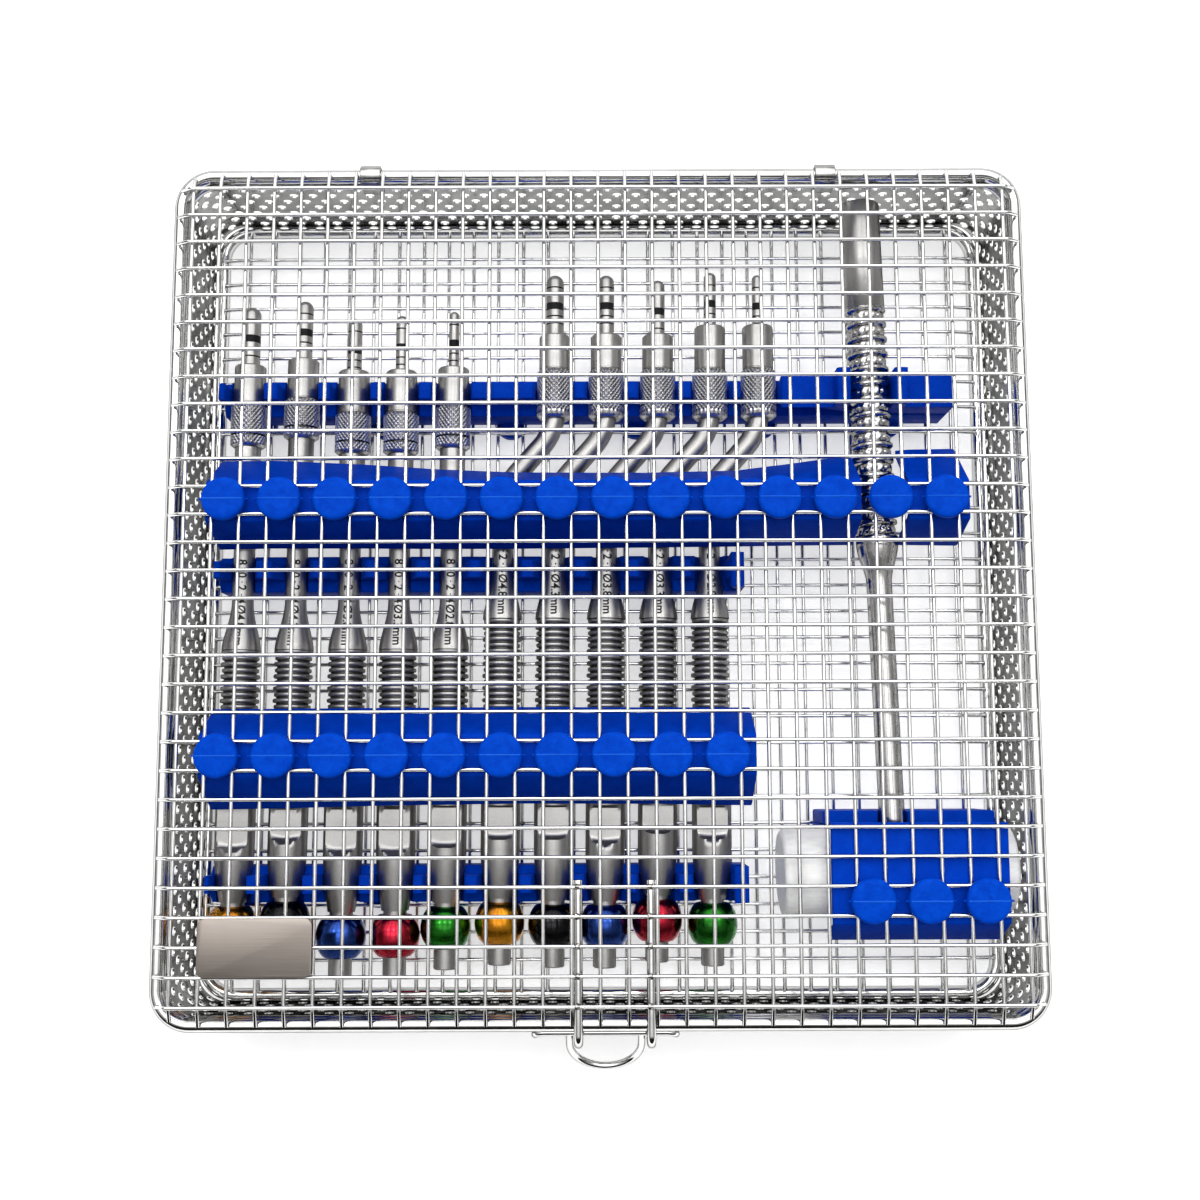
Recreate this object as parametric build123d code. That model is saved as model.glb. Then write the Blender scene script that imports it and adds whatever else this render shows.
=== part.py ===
"""Dental instrument cassette: a hinged wire-mesh tray with silicone holders,
ten osteotomes and a surgical mallet.

Units are millimetres. +X is to the right, +Y is towards the hinges, +Z is up.
The shapes are drawn about the middle of the lid, on the table, and save() moves
them so that the origin is under the middle of the whole closed cassette.
"""
from build123d import *
import os
from math import asin, atan2, cos, degrees, hypot, pi, radians, sin, sqrt, tan

# ---------------------------------------------------------------- wire mesh
WIRE_D = 1.0            # mesh wire
WIRE_SIDES = 6          # the mesh wires are drawn six-sided, flats up
CELL_X = 7.0            # pitch of the wires that run front to back
CELL_Y = 7.14           # pitch of the wires that run left to right
LID_LONG_COUNT = 31
LID_CROSS_COUNT = 30
FLOOR_LONG_COUNT = 29
FLOOR_CROSS_COUNT = 28
KNEE_OUT = 0.9          # a wire turns towards the rod this far past the last crossing

# ---------------------------------------------------------------- frame rods
ROD_D = 3.5
ROD_SIDES = 12          # rods are drawn twelve-sided
CORNER_R = 8.5          # rod centreline radius at the corners
CORNER_FACETS = 3       # straight runs that make one rod corner
EDGE_X = 4.0            # last long wire to rod centreline
EDGE_Y = 4.8            # last cross wire to rod centreline
FLOOR_INSET_X = 3.0     # the floor rod is smaller than the rim rod by this much a side
FLOOR_INSET_Y = 2.5
FOOT_DROP = 4.0         # lowest mesh wire above the table
BASE_H = 28.3           # floor rod centreline to rim rod centreline
LID_GAP = 0.3           # air between the closed lid rod and the rim rod
WALL_T = 0.9            # sheet of the wall band

# ---------------------------------------------------------------- hinge
STRAP_W = 5.3
STRAP_T = 1.0
STRAP_CELL = 8.5        # the strap stands in the middle of this cell from the centre
HINGE_CLEAR = 0.06      # radial running clearance of the lid rod in the strap
STRAP_SLOT_CLEAR = 0.2  # strap to the slot that it passes through in the wall

# ---------------------------------------------------------------- latch
EYE_WIRE_D = 2.2        # the two lid wires that carry the bail
EYE_LEFT_WIRE = -1      # long wire that the left leg lies against
EYE_RIGHT_WIRE = 2
EYE_LEG_START = 5       # cross wire, counted from the front, where a leg begins
EYE_LEG_SPARE = 1.6     # cut end past that cross wire
EYE_WRAP = 50.0         # degrees that an eye closes under the bail bar
LATCH_SIDES = 8         # latch wires are drawn eight-sided
BAIL_D = 1.8
BAIL_CLEAR = 0.3        # bail to eye, and bail to rods
BAIL_BAR_HALF = 17.4    # half the bar, hook to hook
HOOK_TURN = 1.6         # run of the bend from the bar to a hook
BAIL_LEG = 4.4          # straight part of the finger loop
BAIL_TILT = 43.0        # the closed finger loop hangs this far below level
FINGER_FACETS = 8       # straight runs that make the round of the finger loop
EYE_FACETS = 3          # straight runs in an eye's shoulder, and in its closing bend
HOOK_REACH = 2.6        # hook tip below the rim rod centreline

# ---------------------------------------------------------------- name plate
PLATE_T = 0.8
PLATE_R = 2.0
PLATE_CELLS_X = 4
PLATE_CELLS_Y = 2
PLATE_LEFT_WIRE = -14   # long wire under the plate's left edge
PLATE_FRONT_WIRE = 1    # cross wire, counted from the front, under its front edge

# ---------------------------------------------------------------- lid strips
BUTTON_D = 10.5
BUTTON_H = 3.4
BUTTON_SIDES = 8
STEM_W = 5.4            # square stem that fills a mesh cell
STRIP_BAND = 10.2       # flat middle of a strip
STRIP_T = 1.7           # silicone wall
BACK_STRIP_Y = 21.4
BACK_STRIP_FLAPS = (5.2, 8.6)   # plan widths of the front and the back flap
BACK_STRIP_X = (-99.8, 94.2)
BACK_BUTTONS = 14
FRONT_STRIP_Y = -42.8
FRONT_STRIP_FLAPS = (7.2, 7.2)
FRONT_STRIP_X = (-99.8, 39.0)
FRONT_BUTTONS = 10
MALLET_STRIP_X = (57.0, 100.8)
MALLET_STRIP_Y = -79.2
MALLET_FLAP_BACK = 14.4
MALLET_FLAP_FRONT = 5.0
MALLET_FLAP_DROP = 10.0
MALLET_BUTTONS = 3
FLAP_CLEAR = 1.0        # flap tips above the instruments
LID_CLEAR = 0.4         # level flap above the mallet head

# ---------------------------------------------------------------- racks
RACK_T = 9.2
RACK_TOP = 24.4
RACK_CLEAR = 0.25       # silicone to instrument
FINGER_W = 1.8          # least width of an end finger at its top
RACK_LEFT = -100.9
BACK_RACK_Y = 53.2
BACK_RACK_RIGHT = 94.0
MIDDLE_RACK_Y = 5.4
FRONT_RACK_Y = -75.7
SHORT_RACK_RIGHT = 38.0
FOOT_D = 9.0
FOOT_EVERY = 5          # cells from foot to foot
TALL_FINGER_W = 3.6
TALL_FINGER_TOP = 30.5

# ---------------------------------------------------------------- osteotomes
TOOL_SIDES = 10         # turned tools are drawn ten-sided
TOOL_AXIS_Z = 18.0
BALL_Y = -87.3          # centre of every coloured ball
BALL_D = 13.0
BALL_L = 10.7
BALL_END_D = 9.0
BALL_FLANK = 0.33       # share of the length that each sloping flank takes
BALL_FIT = 0.05
SPINDLE_D = 6.0
STUB_L = 10.6           # ball centre to the struck end
TAPER_FROM = 6.3        # distances forward of the ball centre
GRIP_FROM = 21.8
GRIP_TO_STRAIGHT = 72.3
GRIP_TO_BENT = 80.3
GRIP_D = 10.2
BELL_L = 13.3
NECK_D = 5.6
NECK_L = 14.8
SHAFT_D = 6.8
BEND_FROM = 115.4       # where the bent shaft leaves the handle axis
BEND_TO = 131.0
BENT_OFFSET = 13.6
COLLAR_D = 8.3
KNURL_D = 9.5
STOP_FIT = 0.05
TIP_DIAMETERS = (4.8, 4.3, 3.8, 3.3, 2.8)
FLAT_DEPTH = 1.1        # thumb flat in the grip
FLAT_FROM = 21.8
FLAT_TO = 31.8
# ball X, sideways drift of the tip, stop seat, knurl length, collar length, tip length
STRAIGHT_TOOLS = (
    (-95.0, 1.2, 126.8, 11.8, 10.6, 16.4),
    (-81.4, 2.0, 129.0, 11.0, 10.8, 16.5),
    (-66.9, 1.1, 124.8, 11.2, 11.6, 14.8),
    (-53.0, -0.1, 124.8, 11.2, 11.6, 15.6),
    (-39.9, 0.9, 126.1, 11.8, 10.5, 15.9),
)
BENT_TOOLS = (
    (-26.0, 0.7, 134.4, 13.4, 9.5, 17.1),
    (-12.2, 0.8, 134.4, 13.4, 9.5, 17.1),
    (1.1, 1.5, 134.4, 13.4, 9.5, 15.7),
    (14.6, 2.2, 134.4, 13.4, 12.0, 15.4),
    (28.9, 0.7, 134.4, 13.4, 12.0, 14.6),
)

# ---------------------------------------------------------------- mallet
MALLET_SIDES = 24       # the mallet is drawn twenty-four-sided
HEAD_WALL_GAP = 1.6     # right face to the line of the floor rod
HEAD_Y = -72.2
HEAD_D = 22.4
HEAD_L = 58.6
FACE_L = 15.0
FACE_CHAMFER = 1.2
MALLET_YAW = 1.4        # degrees that the handle leans to the left
HANDLE_END = 176.6      # head centre to the handle's far end
HANDLE_TUBE_L = 29.6
HANDLE_TUBE_D = 10.0
HANDLE_GRIP_D = 10.6
HANDLE_GRIP_L = 62.2
FERRULE_L = 10.7
HANDLE_SHAFT_D = 6.6
SOCKET_DEPTH = 4.0      # the shaft enters the head this far past its surface

# ---------------------------------------------------------------- derived places
WIRE_R = WIRE_D / 2
ROD_R = ROD_D / 2
LID_HALF_X = (LID_LONG_COUNT - 1) / 2 * CELL_X + EDGE_X
LID_HALF_Y = (LID_CROSS_COUNT - 1) / 2 * CELL_Y + EDGE_Y
FLOOR_HALF_X = LID_HALF_X - FLOOR_INSET_X
FLOOR_HALF_Y = LID_HALF_Y - FLOOR_INSET_Y
CROSS_OFF = ROD_R + EYE_WIRE_D + WIRE_R      # cross wire beyond the rod centreline
LONG_OFF = CROSS_OFF - WIRE_D
FLOOR_TOP = FOOT_DROP + 2 * WIRE_D
FLOOR_ROD_Z = FOOT_DROP - ROD_R
RIM_Z = FLOOR_ROD_Z + BASE_H
LID_Z = RIM_Z + ROD_D + LID_GAP
LID_LONG_Z = LID_Z + LONG_OFF
LID_CROSS_Z = LID_Z + CROSS_OFF
LID_UNDER = LID_LONG_Z - WIRE_R
LID_OVER = LID_CROSS_Z + WIRE_R
EYE_R = EYE_WIRE_D / 2
BAIL_R = BAIL_D / 2
EYE_LOOP_R = BAIL_R + BAIL_CLEAR + EYE_R
BAR_Z = (LID_Z + RIM_Z) / 2
BAR_Y = -LID_HALF_Y - sqrt((ROD_R + BAIL_R + BAIL_CLEAR) ** 2 - (BAR_Z - RIM_Z) ** 2)
EYE_LEFT_X = EYE_LEFT_WIRE * CELL_X + WIRE_R + EYE_R
EYE_RIGHT_X = EYE_RIGHT_WIRE * CELL_X - WIRE_R - EYE_R
BAIL_SIDE_GAP = EYE_R + BAIL_CLEAR + BAIL_R   # a bail leg stands left of its eye
BAIL_X = (EYE_LEFT_X + EYE_RIGHT_X) / 2 - BAIL_SIDE_GAP
BAIL_HALF_W = (EYE_RIGHT_X - EYE_LEFT_X) / 2
HEAD_X = FLOOR_HALF_X - HEAD_WALL_GAP - HEAD_L / 2
MALLET_Z = LID_UNDER - STRIP_T - LID_CLEAR - HEAD_D / 2
BACK_REACH = LID_HALF_Y + ROD_R + HINGE_CLEAR + STRAP_T
FRONT_REACH = (BAIL_LEG + BAIL_HALF_W) * cos(radians(BAIL_TILT)) + BAIL_R - BAR_Y
SHIFT_Y = (FRONT_REACH - BACK_REACH) / 2


def cross_y(index_from_front):
    """Y of a lid cross wire, counted from the front."""
    return (index_from_front - (LID_CROSS_COUNT - 1) / 2) * CELL_Y


def save(name, shape):
    """Write one sub-part, moved to the cassette's origin."""
    solids = [Pos(0, SHIFT_Y, 0) * solid for solid in shape.solids()]
    part = solids[0] if len(solids) == 1 else Compound(children=solids)
    part.label = name
    export_step(part, os.path.join("parts", name + ".step"))


# ---------------------------------------------------------------- shapes with flat facets
def arc_points(centre, radius, start, end, facets):
    """Points on an arc, in degrees, that straight runs join."""
    turns = [radians(start + (end - start) * i / facets) for i in range(facets + 1)]
    return [(centre[0] + radius * cos(t), centre[1] + radius * sin(t)) for t in turns]


def rounded_outline(half_x, half_y, radius):
    """A rectangle with faceted round corners, anticlockwise from its front right corner."""
    points = []
    for start, side_x, side_y in ((-90, 1, -1), (0, 1, 1), (90, -1, 1), (180, -1, -1)):
        centre = (side_x * (half_x - radius), side_y * (half_y - radius))
        points += arc_points(centre, radius, start, start + 90, CORNER_FACETS)
    return points


def skin(rings, hollow=False):
    """A solid with flat facets through equal rings of points; a hollow one closes on its first ring."""
    faces = []
    pairs = list(zip(rings, rings[1:]))
    if hollow:
        pairs.append((rings[-1], rings[0]))
    else:
        faces += [Face(Wire.make_polygon(ring)) for ring in (rings[0], rings[-1])]
    for low, high in pairs:
        for i in range(len(low)):
            corners = (low[i - 1], low[i], high[i], high[i - 1])
            faces.append(Face(Wire.make_polygon(corners)))
    return Solid(Shell(faces))


def turned(points, sides, bore=0.0):
    """A turned bar along +Y, given as (distance, diameter) from end to end, with or without a bore."""
    if bore:
        points = list(points) + [(points[-1][0], bore), (points[0][0], bore)]
    turns = [2 * pi * i / sides for i in range(sides)]
    rings = [[(d / 2 * cos(t), s, d / 2 * sin(t)) for t in turns] for s, d in points]
    return skin(rings, hollow=bool(bore))


def bent_wire(points, radius, sides):
    """A wire along straight runs with mitred bends."""
    path = Polyline(*points)
    section = Plane(origin=path @ 0, z_dir=path % 0) * RegularPolygon(radius, sides)
    return sweep(section, path=path, transition=Transition.RIGHT)


# ---------------------------------------------------------------- frame
def rod_loop(half_x, half_y, z):
    """A rod bent into a rounded rectangle and welded shut in the middle of its front run."""
    corners = [(x, y, z) for x, y in rounded_outline(half_x, half_y, CORNER_R)]
    path = Polyline((0, -half_y, z), *corners, close=True)
    section = Plane(origin=path @ 0, z_dir=path % 0) * RegularPolygon(ROD_R, ROD_SIDES)
    return sweep(section, path=path, transition=Transition.RIGHT)


def mesh_wire(half_span, edge, off, tip=0.0):
    """One mesh wire along X, about the rod centreline height, bent down to seat on the rod.

    It ends at the rod centreline, or short of it by tip.
    """
    run = edge - KNEE_OUT
    reach = hypot(run, off)
    slope = atan2(off, run) - asin((ROD_R + WIRE_R) / reach)
    end_x = half_span + edge - tip
    end_z = off - (run - tip) * tan(slope)
    path = Polyline((-end_x, 0, end_z), (-half_span - KNEE_OUT, 0, off),
                    (half_span + KNEE_OUT, 0, off), (end_x, 0, end_z))
    start = Plane(origin=path @ 0, x_dir=(0, 1, 0), z_dir=path % 0)
    section = start * RegularPolygon(WIRE_R, WIRE_SIDES, major_radius=False)
    return sweep(section, path=path, transition=Transition.RIGHT)


def straight_wire(length):
    """One straight mesh wire along X."""
    start = Plane(origin=(-length / 2, 0, 0), x_dir=(0, 1, 0), z_dir=(1, 0, 0))
    return extrude(start * RegularPolygon(WIRE_R, WIRE_SIDES, major_radius=False), length)


def lid_mesh():
    """The lid's long wires and, over them, its cross wires, all bent down onto the rod."""
    long_half = (LID_CROSS_COUNT - 1) / 2 * CELL_Y
    cross_half = (LID_LONG_COUNT - 1) / 2 * CELL_X
    long_wire = mesh_wire(long_half, EDGE_Y, LONG_OFF).rotate(Axis.Z, 90)
    cross_wire = mesh_wire(cross_half, EDGE_X, CROSS_OFF)
    return spread(long_wire, LID_LONG_COUNT, CELL_X, 0, LID_Z), \
        spread(cross_wire, LID_CROSS_COUNT, 0, CELL_Y, LID_Z)


def floor_mesh():
    """The floor's long wires on the floor rod and, over them, its cross wires, inside the walls."""
    cross_half = (FLOOR_LONG_COUNT - 1) / 2 * CELL_X
    cross_off = ROD_R + WIRE_D + WIRE_R
    long_wire = straight_wire(2 * (FLOOR_HALF_Y - WALL_T)).rotate(Axis.Z, 90)
    cross_wire = mesh_wire(cross_half, FLOOR_HALF_X - cross_half, cross_off, WALL_T)
    return spread(long_wire, FLOOR_LONG_COUNT, CELL_X, 0, FOOT_DROP + WIRE_R), \
        spread(cross_wire, FLOOR_CROSS_COUNT, 0, CELL_Y, FLOOR_ROD_Z)


def spread(wire, count, step_x, step_y, z):
    """Equal copies of a wire, centred on the tray."""
    middle = (count - 1) / 2
    return Compound(children=[Pos((i - middle) * step_x, (i - middle) * step_y, z) * wire
                              for i in range(count)])


def wall_band():
    """The sheet between the floor rod and the rim rod, leaning out, as five pieces."""
    low = FLOOR_ROD_Z + ROD_R
    high = RIM_Z - ROD_R

    rings = []
    for z, grow in ((low, 1), (high, 1), (high, -1), (low, -1)):
        lean = (RIM_Z - z) / BASE_H
        outline = rounded_outline(LID_HALF_X - FLOOR_INSET_X * lean + grow * WALL_T / 2,
                                  LID_HALF_Y - FLOOR_INSET_Y * lean + grow * WALL_T / 2, CORNER_R)
        rings.append([(x, y, z) for x, y in outline])
    band = skin(rings, hollow=True)
    flat_x = FLOOR_HALF_X - CORNER_R
    flat_y = FLOOR_HALF_Y - CORNER_R
    tall = 2 * RIM_Z
    side_zone = Box(4 * LID_HALF_X, 2 * flat_y, tall)
    end_zone = Box(2 * flat_x, 4 * LID_HALF_Y, tall)
    sides = band & side_zone
    ends = band & end_zone
    corners = band - side_zone - end_zone
    left, right = sides.solids().sort_by(Axis.X)
    front, back = ends.solids().sort_by(Axis.Y)
    slot_w = STRAP_W + 2 * STRAP_SLOT_CLEAR
    slot_h = STRAP_T + HINGE_CLEAR + STRAP_SLOT_CLEAR
    for side in (-1, 1):
        back -= Pos(side * STRAP_CELL * CELL_X, LID_HALF_Y, high) * Box(slot_w, CORNER_R, 2 * slot_h)
    return {"wall_left": left, "wall_right": right, "wall_front": front, "wall_back": back,
            "wall_corners": Compound(children=list(corners.solids()))}


def hinge_strap(x):
    """A sheet strap wrapped round the rim rod and the lid rod; the lid rod turns in it."""
    half = (LID_Z - RIM_Z) / 2

    def loop(grow):
        points = []
        for i in range(ROD_SIDES):
            turn = 2 * pi * (i + 0.5) / ROD_SIDES
            upper = turn < pi
            reach = (ROD_R + grow + (HINGE_CLEAR if upper else 0)) / cos(pi / ROD_SIDES)
            middle = half if upper else -half
            points.append((reach * cos(turn), middle + reach * sin(turn)))
        return make_face(Polyline(*points, close=True))

    plane = Plane(origin=(x, LID_HALF_Y, BAR_Z), x_dir=(0, 1, 0), z_dir=(1, 0, 0))
    return extrude(plane * (loop(STRAP_T) - loop(0)), STRAP_W / 2, both=True)


# ---------------------------------------------------------------- latch
def latch_eye(x):
    """A lid wire that passes over the rod and closes round the bail bar."""
    leg_z = LID_UNDER + WIRE_D - EYE_R
    start_y = cross_y(EYE_LEG_START - 1) + EYE_LEG_SPARE
    over = arc_points((BAR_Y, leg_z - EYE_LOOP_R), EYE_LOOP_R, 90, 180, EYE_FACETS)
    under = arc_points((BAR_Y, BAR_Z), EYE_LOOP_R, 180, 180 + EYE_WRAP, EYE_FACETS)
    points = [(start_y, leg_z)] + over + under
    return bent_wire([(x, y, z) for y, z in points], EYE_R, LATCH_SIDES)


def latch_bail():
    """The bar in the two eyes, its end hooks and the finger loop, bent from one wire size."""
    hook_y = -LID_HALF_Y - ROD_R - BAIL_CLEAR - BAIL_R
    hook = [(BAIL_BAR_HALF - HOOK_TURN, BAR_Y, BAR_Z),
            (BAIL_BAR_HALF - HOOK_TURN / 4, (BAR_Y + hook_y) / 2, BAR_Z - HOOK_TURN / 4),
            (BAIL_BAR_HALF, hook_y, BAR_Z - HOOK_TURN), (BAIL_BAR_HALF, hook_y, RIM_Z - HOOK_REACH)]
    mirrored = [(-x, y, z) for x, y, z in reversed(hook)]
    bar = bent_wire(mirrored + hook, BAIL_R, LATCH_SIDES)
    flat = [(-BAIL_HALF_W, 0)]
    flat += arc_points((0, -BAIL_LEG), BAIL_HALF_W, 180, 360, FINGER_FACETS)
    flat += [(BAIL_HALF_W, 0)]
    tilt = radians(BAIL_TILT)
    finger = bent_wire([(x, BAR_Y + r * cos(tilt), BAR_Z + r * sin(tilt)) for x, r in flat],
                       BAIL_R, LATCH_SIDES)
    return Pos(BAIL_X, 0, 0) * (bar + finger)


def name_plate():
    """A blank plate welded on the mesh."""
    width = PLATE_CELLS_X * CELL_X
    depth = PLATE_CELLS_Y * CELL_Y
    x = PLATE_LEFT_WIRE * CELL_X + width / 2
    y = cross_y(PLATE_FRONT_WIRE) + depth / 2
    plate = extrude(RectangleRounded(width, depth, PLATE_R), PLATE_T)
    return Pos(x, y, LID_OVER) * plate


# ---------------------------------------------------------------- lid strips
def button(x, y):
    """A round silicone head above the mesh on a stem that fills one cell."""
    head = extrude(RegularPolygon(BUTTON_D / 2, BUTTON_SIDES), BUTTON_H)
    stem = extrude(Rectangle(STEM_W, STEM_W), LID_OVER - LID_UNDER)
    return Pos(x, y, LID_OVER) * head + Pos(x, y, LID_UNDER) * stem


def cell_centre(value, pitch, wire_count):
    """The middle of the mesh cell nearest to value."""
    shift = 0.5 if wire_count % 2 else 0.0
    return (round(value / pitch - shift) + shift) * pitch


def strip(x_range, profile, count, y):
    """A silicone strip of one section, with a row of buttons in every second cell."""
    plane = Plane(origin=(x_range[0], 0, 0), x_dir=(0, 1, 0), z_dir=(1, 0, 0))
    body = extrude(plane * make_face(Polyline(*profile, close=True)), x_range[1] - x_range[0])
    first = cell_centre(x_range[0] + STEM_W, CELL_X, LID_LONG_COUNT)
    row = cell_centre(y, CELL_Y, LID_CROSS_COUNT)
    for i in range(count):
        body += button(first + 2 * CELL_X * i, row)
    return body


def roof_profile(y, flaps, tool_d):
    """A flat band with a flap sloping down and out on each side, to just above the instruments."""
    half = STRIP_BAND / 2
    low = TOOL_AXIS_Z + tool_d / 2 + FLAP_CLEAR
    drop = LID_UNDER - low
    under = LID_UNDER - STRIP_T
    outer, inner = [], []
    for side, flap in zip((-1, 1), flaps):
        slant = atan2(drop, flap)
        outer.append([(y + side * half, LID_UNDER), (y + side * (half + flap), low)])
        inner.append([(y + side * (half - STRIP_T * tan(slant / 2)), under),
                      (y + side * (half + flap - STRIP_T / sin(slant)), low)])
    front_outer, back_outer = outer
    front_inner, back_inner = inner
    return front_outer[::-1] + back_outer + back_inner[::-1] + front_inner


def mallet_profile():
    """A long level flap over the mallet head and a short one that hangs in front of it."""
    back = MALLET_STRIP_Y + STRIP_BAND / 2
    front = MALLET_STRIP_Y - STRIP_BAND / 2
    under = LID_UNDER - STRIP_T
    low = LID_UNDER - MALLET_FLAP_DROP
    tip = front - MALLET_FLAP_FRONT
    return ((tip, low), (front, LID_UNDER), (back + MALLET_FLAP_BACK, LID_UNDER),
            (back + MALLET_FLAP_BACK, under), (front, under), (tip + STRIP_T, low))


# ---------------------------------------------------------------- racks
def foot(x, y):
    """A silicone foot under the floor mesh, on a stem through one cell."""
    head = extrude(RegularPolygon(FOOT_D / 2, BUTTON_SIDES), FOOT_DROP)
    stem = extrude(Rectangle(STEM_W, STEM_W), FLOOR_TOP - FOOT_DROP)
    return Pos(x, y, 0) * head + Pos(x, y, FOOT_DROP) * stem


def notch(x, radius, z, mouth=0.0):
    """The space of one instrument, open upwards, through a rack; it widens to mouth at the rack's top."""
    r = radius + RACK_CLEAR
    wide = max(r, mouth)
    rise = RACK_TOP - z
    along = Plane(origin=(x, 0, z), x_dir=(1, 0, 0), z_dir=(0, -1, 0))
    slot = make_face(Polyline((-r, 0), (-wide, rise), (-wide, RACK_TOP), (wide, RACK_TOP),
                              (wide, rise), (r, 0), close=True))
    seat = RegularPolygon(r, 8, major_radius=False, rotation=22.5)
    return extrude(along * seat, RACK_T, both=True) + extrude(along * slot, RACK_T, both=True)


def rack(y, right, seats):
    """A silicone comb across the tray; seats holds an X and a radius for each instrument."""
    block = Pos(RACK_LEFT, 0, FLOOR_TOP) * Box(
        right - RACK_LEFT, RACK_T, RACK_TOP - FLOOR_TOP, align=(Align.MIN, Align.CENTER, Align.MIN))
    for x, radius in seats:
        mouth = min(GRIP_D / 2 + RACK_CLEAR, x - RACK_LEFT - FINGER_W)
        block -= notch(x, radius, TOOL_AXIS_Z, mouth)
    block = Pos(0, y, 0) * block
    row = cell_centre(y, CELL_Y, FLOOR_CROSS_COUNT)
    x = cell_centre(RACK_LEFT + FOOT_D, CELL_X, FLOOR_LONG_COUNT)
    while x < right - STEM_W:
        block += foot(x, row)
        x += FOOT_EVERY * CELL_X
    return block


def tool_x(index, y):
    """X of an instrument's handle axis at y."""
    ball_x, drift = (STRAIGHT_TOOLS + BENT_TOOLS)[index][:2]
    return ball_x + tool_slant(index) * (y - BALL_Y)


def tool_slant(index):
    """Sideways drift of an instrument per millimetre of its length."""
    row = (STRAIGHT_TOOLS + BENT_TOOLS)[index]
    return row[1] / (row[2] + row[3] + row[4] + row[5])


def widest_handle(bent, rack_y):
    """The handle's largest diameter inside a rack centred on rack_y."""
    front = rack_y - RACK_T / 2 - BALL_Y
    back = rack_y + RACK_T / 2 - BALL_Y
    grip_to = GRIP_TO_BENT if bent else GRIP_TO_STRAIGHT
    on_bell = GRIP_D + (NECK_D - GRIP_D) * min(max((front - grip_to) / BELL_L, 0), 1)
    on_taper = SPINDLE_D + (GRIP_D - SPINDLE_D) * min(
        max((back - TAPER_FROM) / (GRIP_FROM - TAPER_FROM), 0), 1)
    return min(on_bell, on_taper)


def mallet_x(y):
    """X of the mallet handle's axis at y."""
    return HEAD_X - (y - HEAD_Y) * tan(radians(MALLET_YAW))


def back_rack():
    """The long comb, with two tall fingers that hold the mallet grip."""
    seats = []
    for i in range(10):
        side = BENT_OFFSET if i >= 5 else 0
        seats.append((tool_x(i, BACK_RACK_Y) + side, KNURL_D / 2))
    body = rack(BACK_RACK_Y, BACK_RACK_RIGHT, seats)
    x = mallet_x(BACK_RACK_Y)
    reach = HANDLE_GRIP_D / 2 + RACK_CLEAR + TALL_FINGER_W
    fingers = Pos(x, BACK_RACK_Y, FLOOR_TOP) * Box(
        2 * reach, RACK_T, TALL_FINGER_TOP - FLOOR_TOP, align=(Align.CENTER, Align.CENTER, Align.MIN))
    return body + fingers - Pos(0, BACK_RACK_Y, 0) * notch(x, HANDLE_GRIP_D / 2, MALLET_Z)


def mallet_rack():
    """A cradle under the mallet head with a slotted back plate behind it."""
    left, right = MALLET_STRIP_X
    back_y = HEAD_Y + HEAD_D / 2 + 2 * RACK_CLEAR
    front_y = HEAD_Y - HEAD_D / 2 + STRIP_T
    base = Pos(left, front_y, FLOOR_TOP) * Box(
        right - left, back_y - front_y + 2 * STRIP_T, MALLET_Z - HEAD_D / 4 - FLOOR_TOP,
        align=(Align.MIN, Align.MIN, Align.MIN))
    plate = Pos(left, back_y, FLOOR_TOP) * Box(
        right - left, 2 * STRIP_T, TALL_FINGER_TOP - 3 * STRIP_T - FLOOR_TOP,
        align=(Align.MIN, Align.MIN, Align.MIN))
    hollow = Pos(HEAD_X, HEAD_Y, MALLET_Z) * Rot(0, 0, MALLET_YAW) * Rot(0, 90, 0) * Cylinder(
        HEAD_D / 2 + RACK_CLEAR, 2 * HEAD_L)
    body = base + plate - hollow
    body -= Pos(0, back_y, 0) * notch(mallet_x(back_y), HANDLE_SHAFT_D / 2 + RACK_CLEAR, MALLET_Z)
    for x in (left + FOOT_D, right - FOOT_D):
        body += foot(cell_centre(x, CELL_X, FLOOR_LONG_COUNT), cell_centre(HEAD_Y, CELL_Y, FLOOR_CROSS_COUNT))
    return body


# ---------------------------------------------------------------- osteotomes
def osteotome(row, bent):
    """Stub, spindle, grip with a thumb flat, neck, shaft and tip, turned from one bar."""
    index = (BENT_TOOLS if bent else STRAIGHT_TOOLS).index(row)
    seat, knurl, collar, tip = row[2:]
    tip_d = TIP_DIAMETERS[index]
    end = seat + knurl + collar + tip
    grip_to = GRIP_TO_BENT if bent else GRIP_TO_STRAIGHT
    handle = [(-STUB_L, SPINDLE_D), (TAPER_FROM, SPINDLE_D), (GRIP_FROM, GRIP_D),
              (grip_to, GRIP_D), (grip_to + BELL_L, NECK_D)]
    neck_end = grip_to + BELL_L
    if bent:
        path = Polyline((0, neck_end), (0, BEND_FROM), (BENT_OFFSET, BEND_TO), (BENT_OFFSET, seat))
        start = Plane(origin=(0, neck_end, 0), x_dir=(1, 0, 0), z_dir=(0, 1, 0))
        crank = sweep(start * RegularPolygon(NECK_D / 2, TOOL_SIDES), path=path,
                      transition=Transition.RIGHT)
        body = turned(handle, TOOL_SIDES) + crank
        body += Pos(BENT_OFFSET, 0, 0) * turned([(seat, tip_d), (end, tip_d)], TOOL_SIDES)
    else:
        body = turned(handle + [(neck_end + NECK_L, NECK_D), (neck_end + NECK_L, SHAFT_D),
                                (seat, SHAFT_D), (seat, tip_d), (end, tip_d)], TOOL_SIDES)
    flat = Pos(0, FLAT_FROM, GRIP_D / 2 - FLAT_DEPTH) * Box(
        GRIP_D, FLAT_TO - FLAT_FROM, GRIP_D, align=(Align.CENTER, Align.MIN, Align.MIN))
    return body - flat


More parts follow.
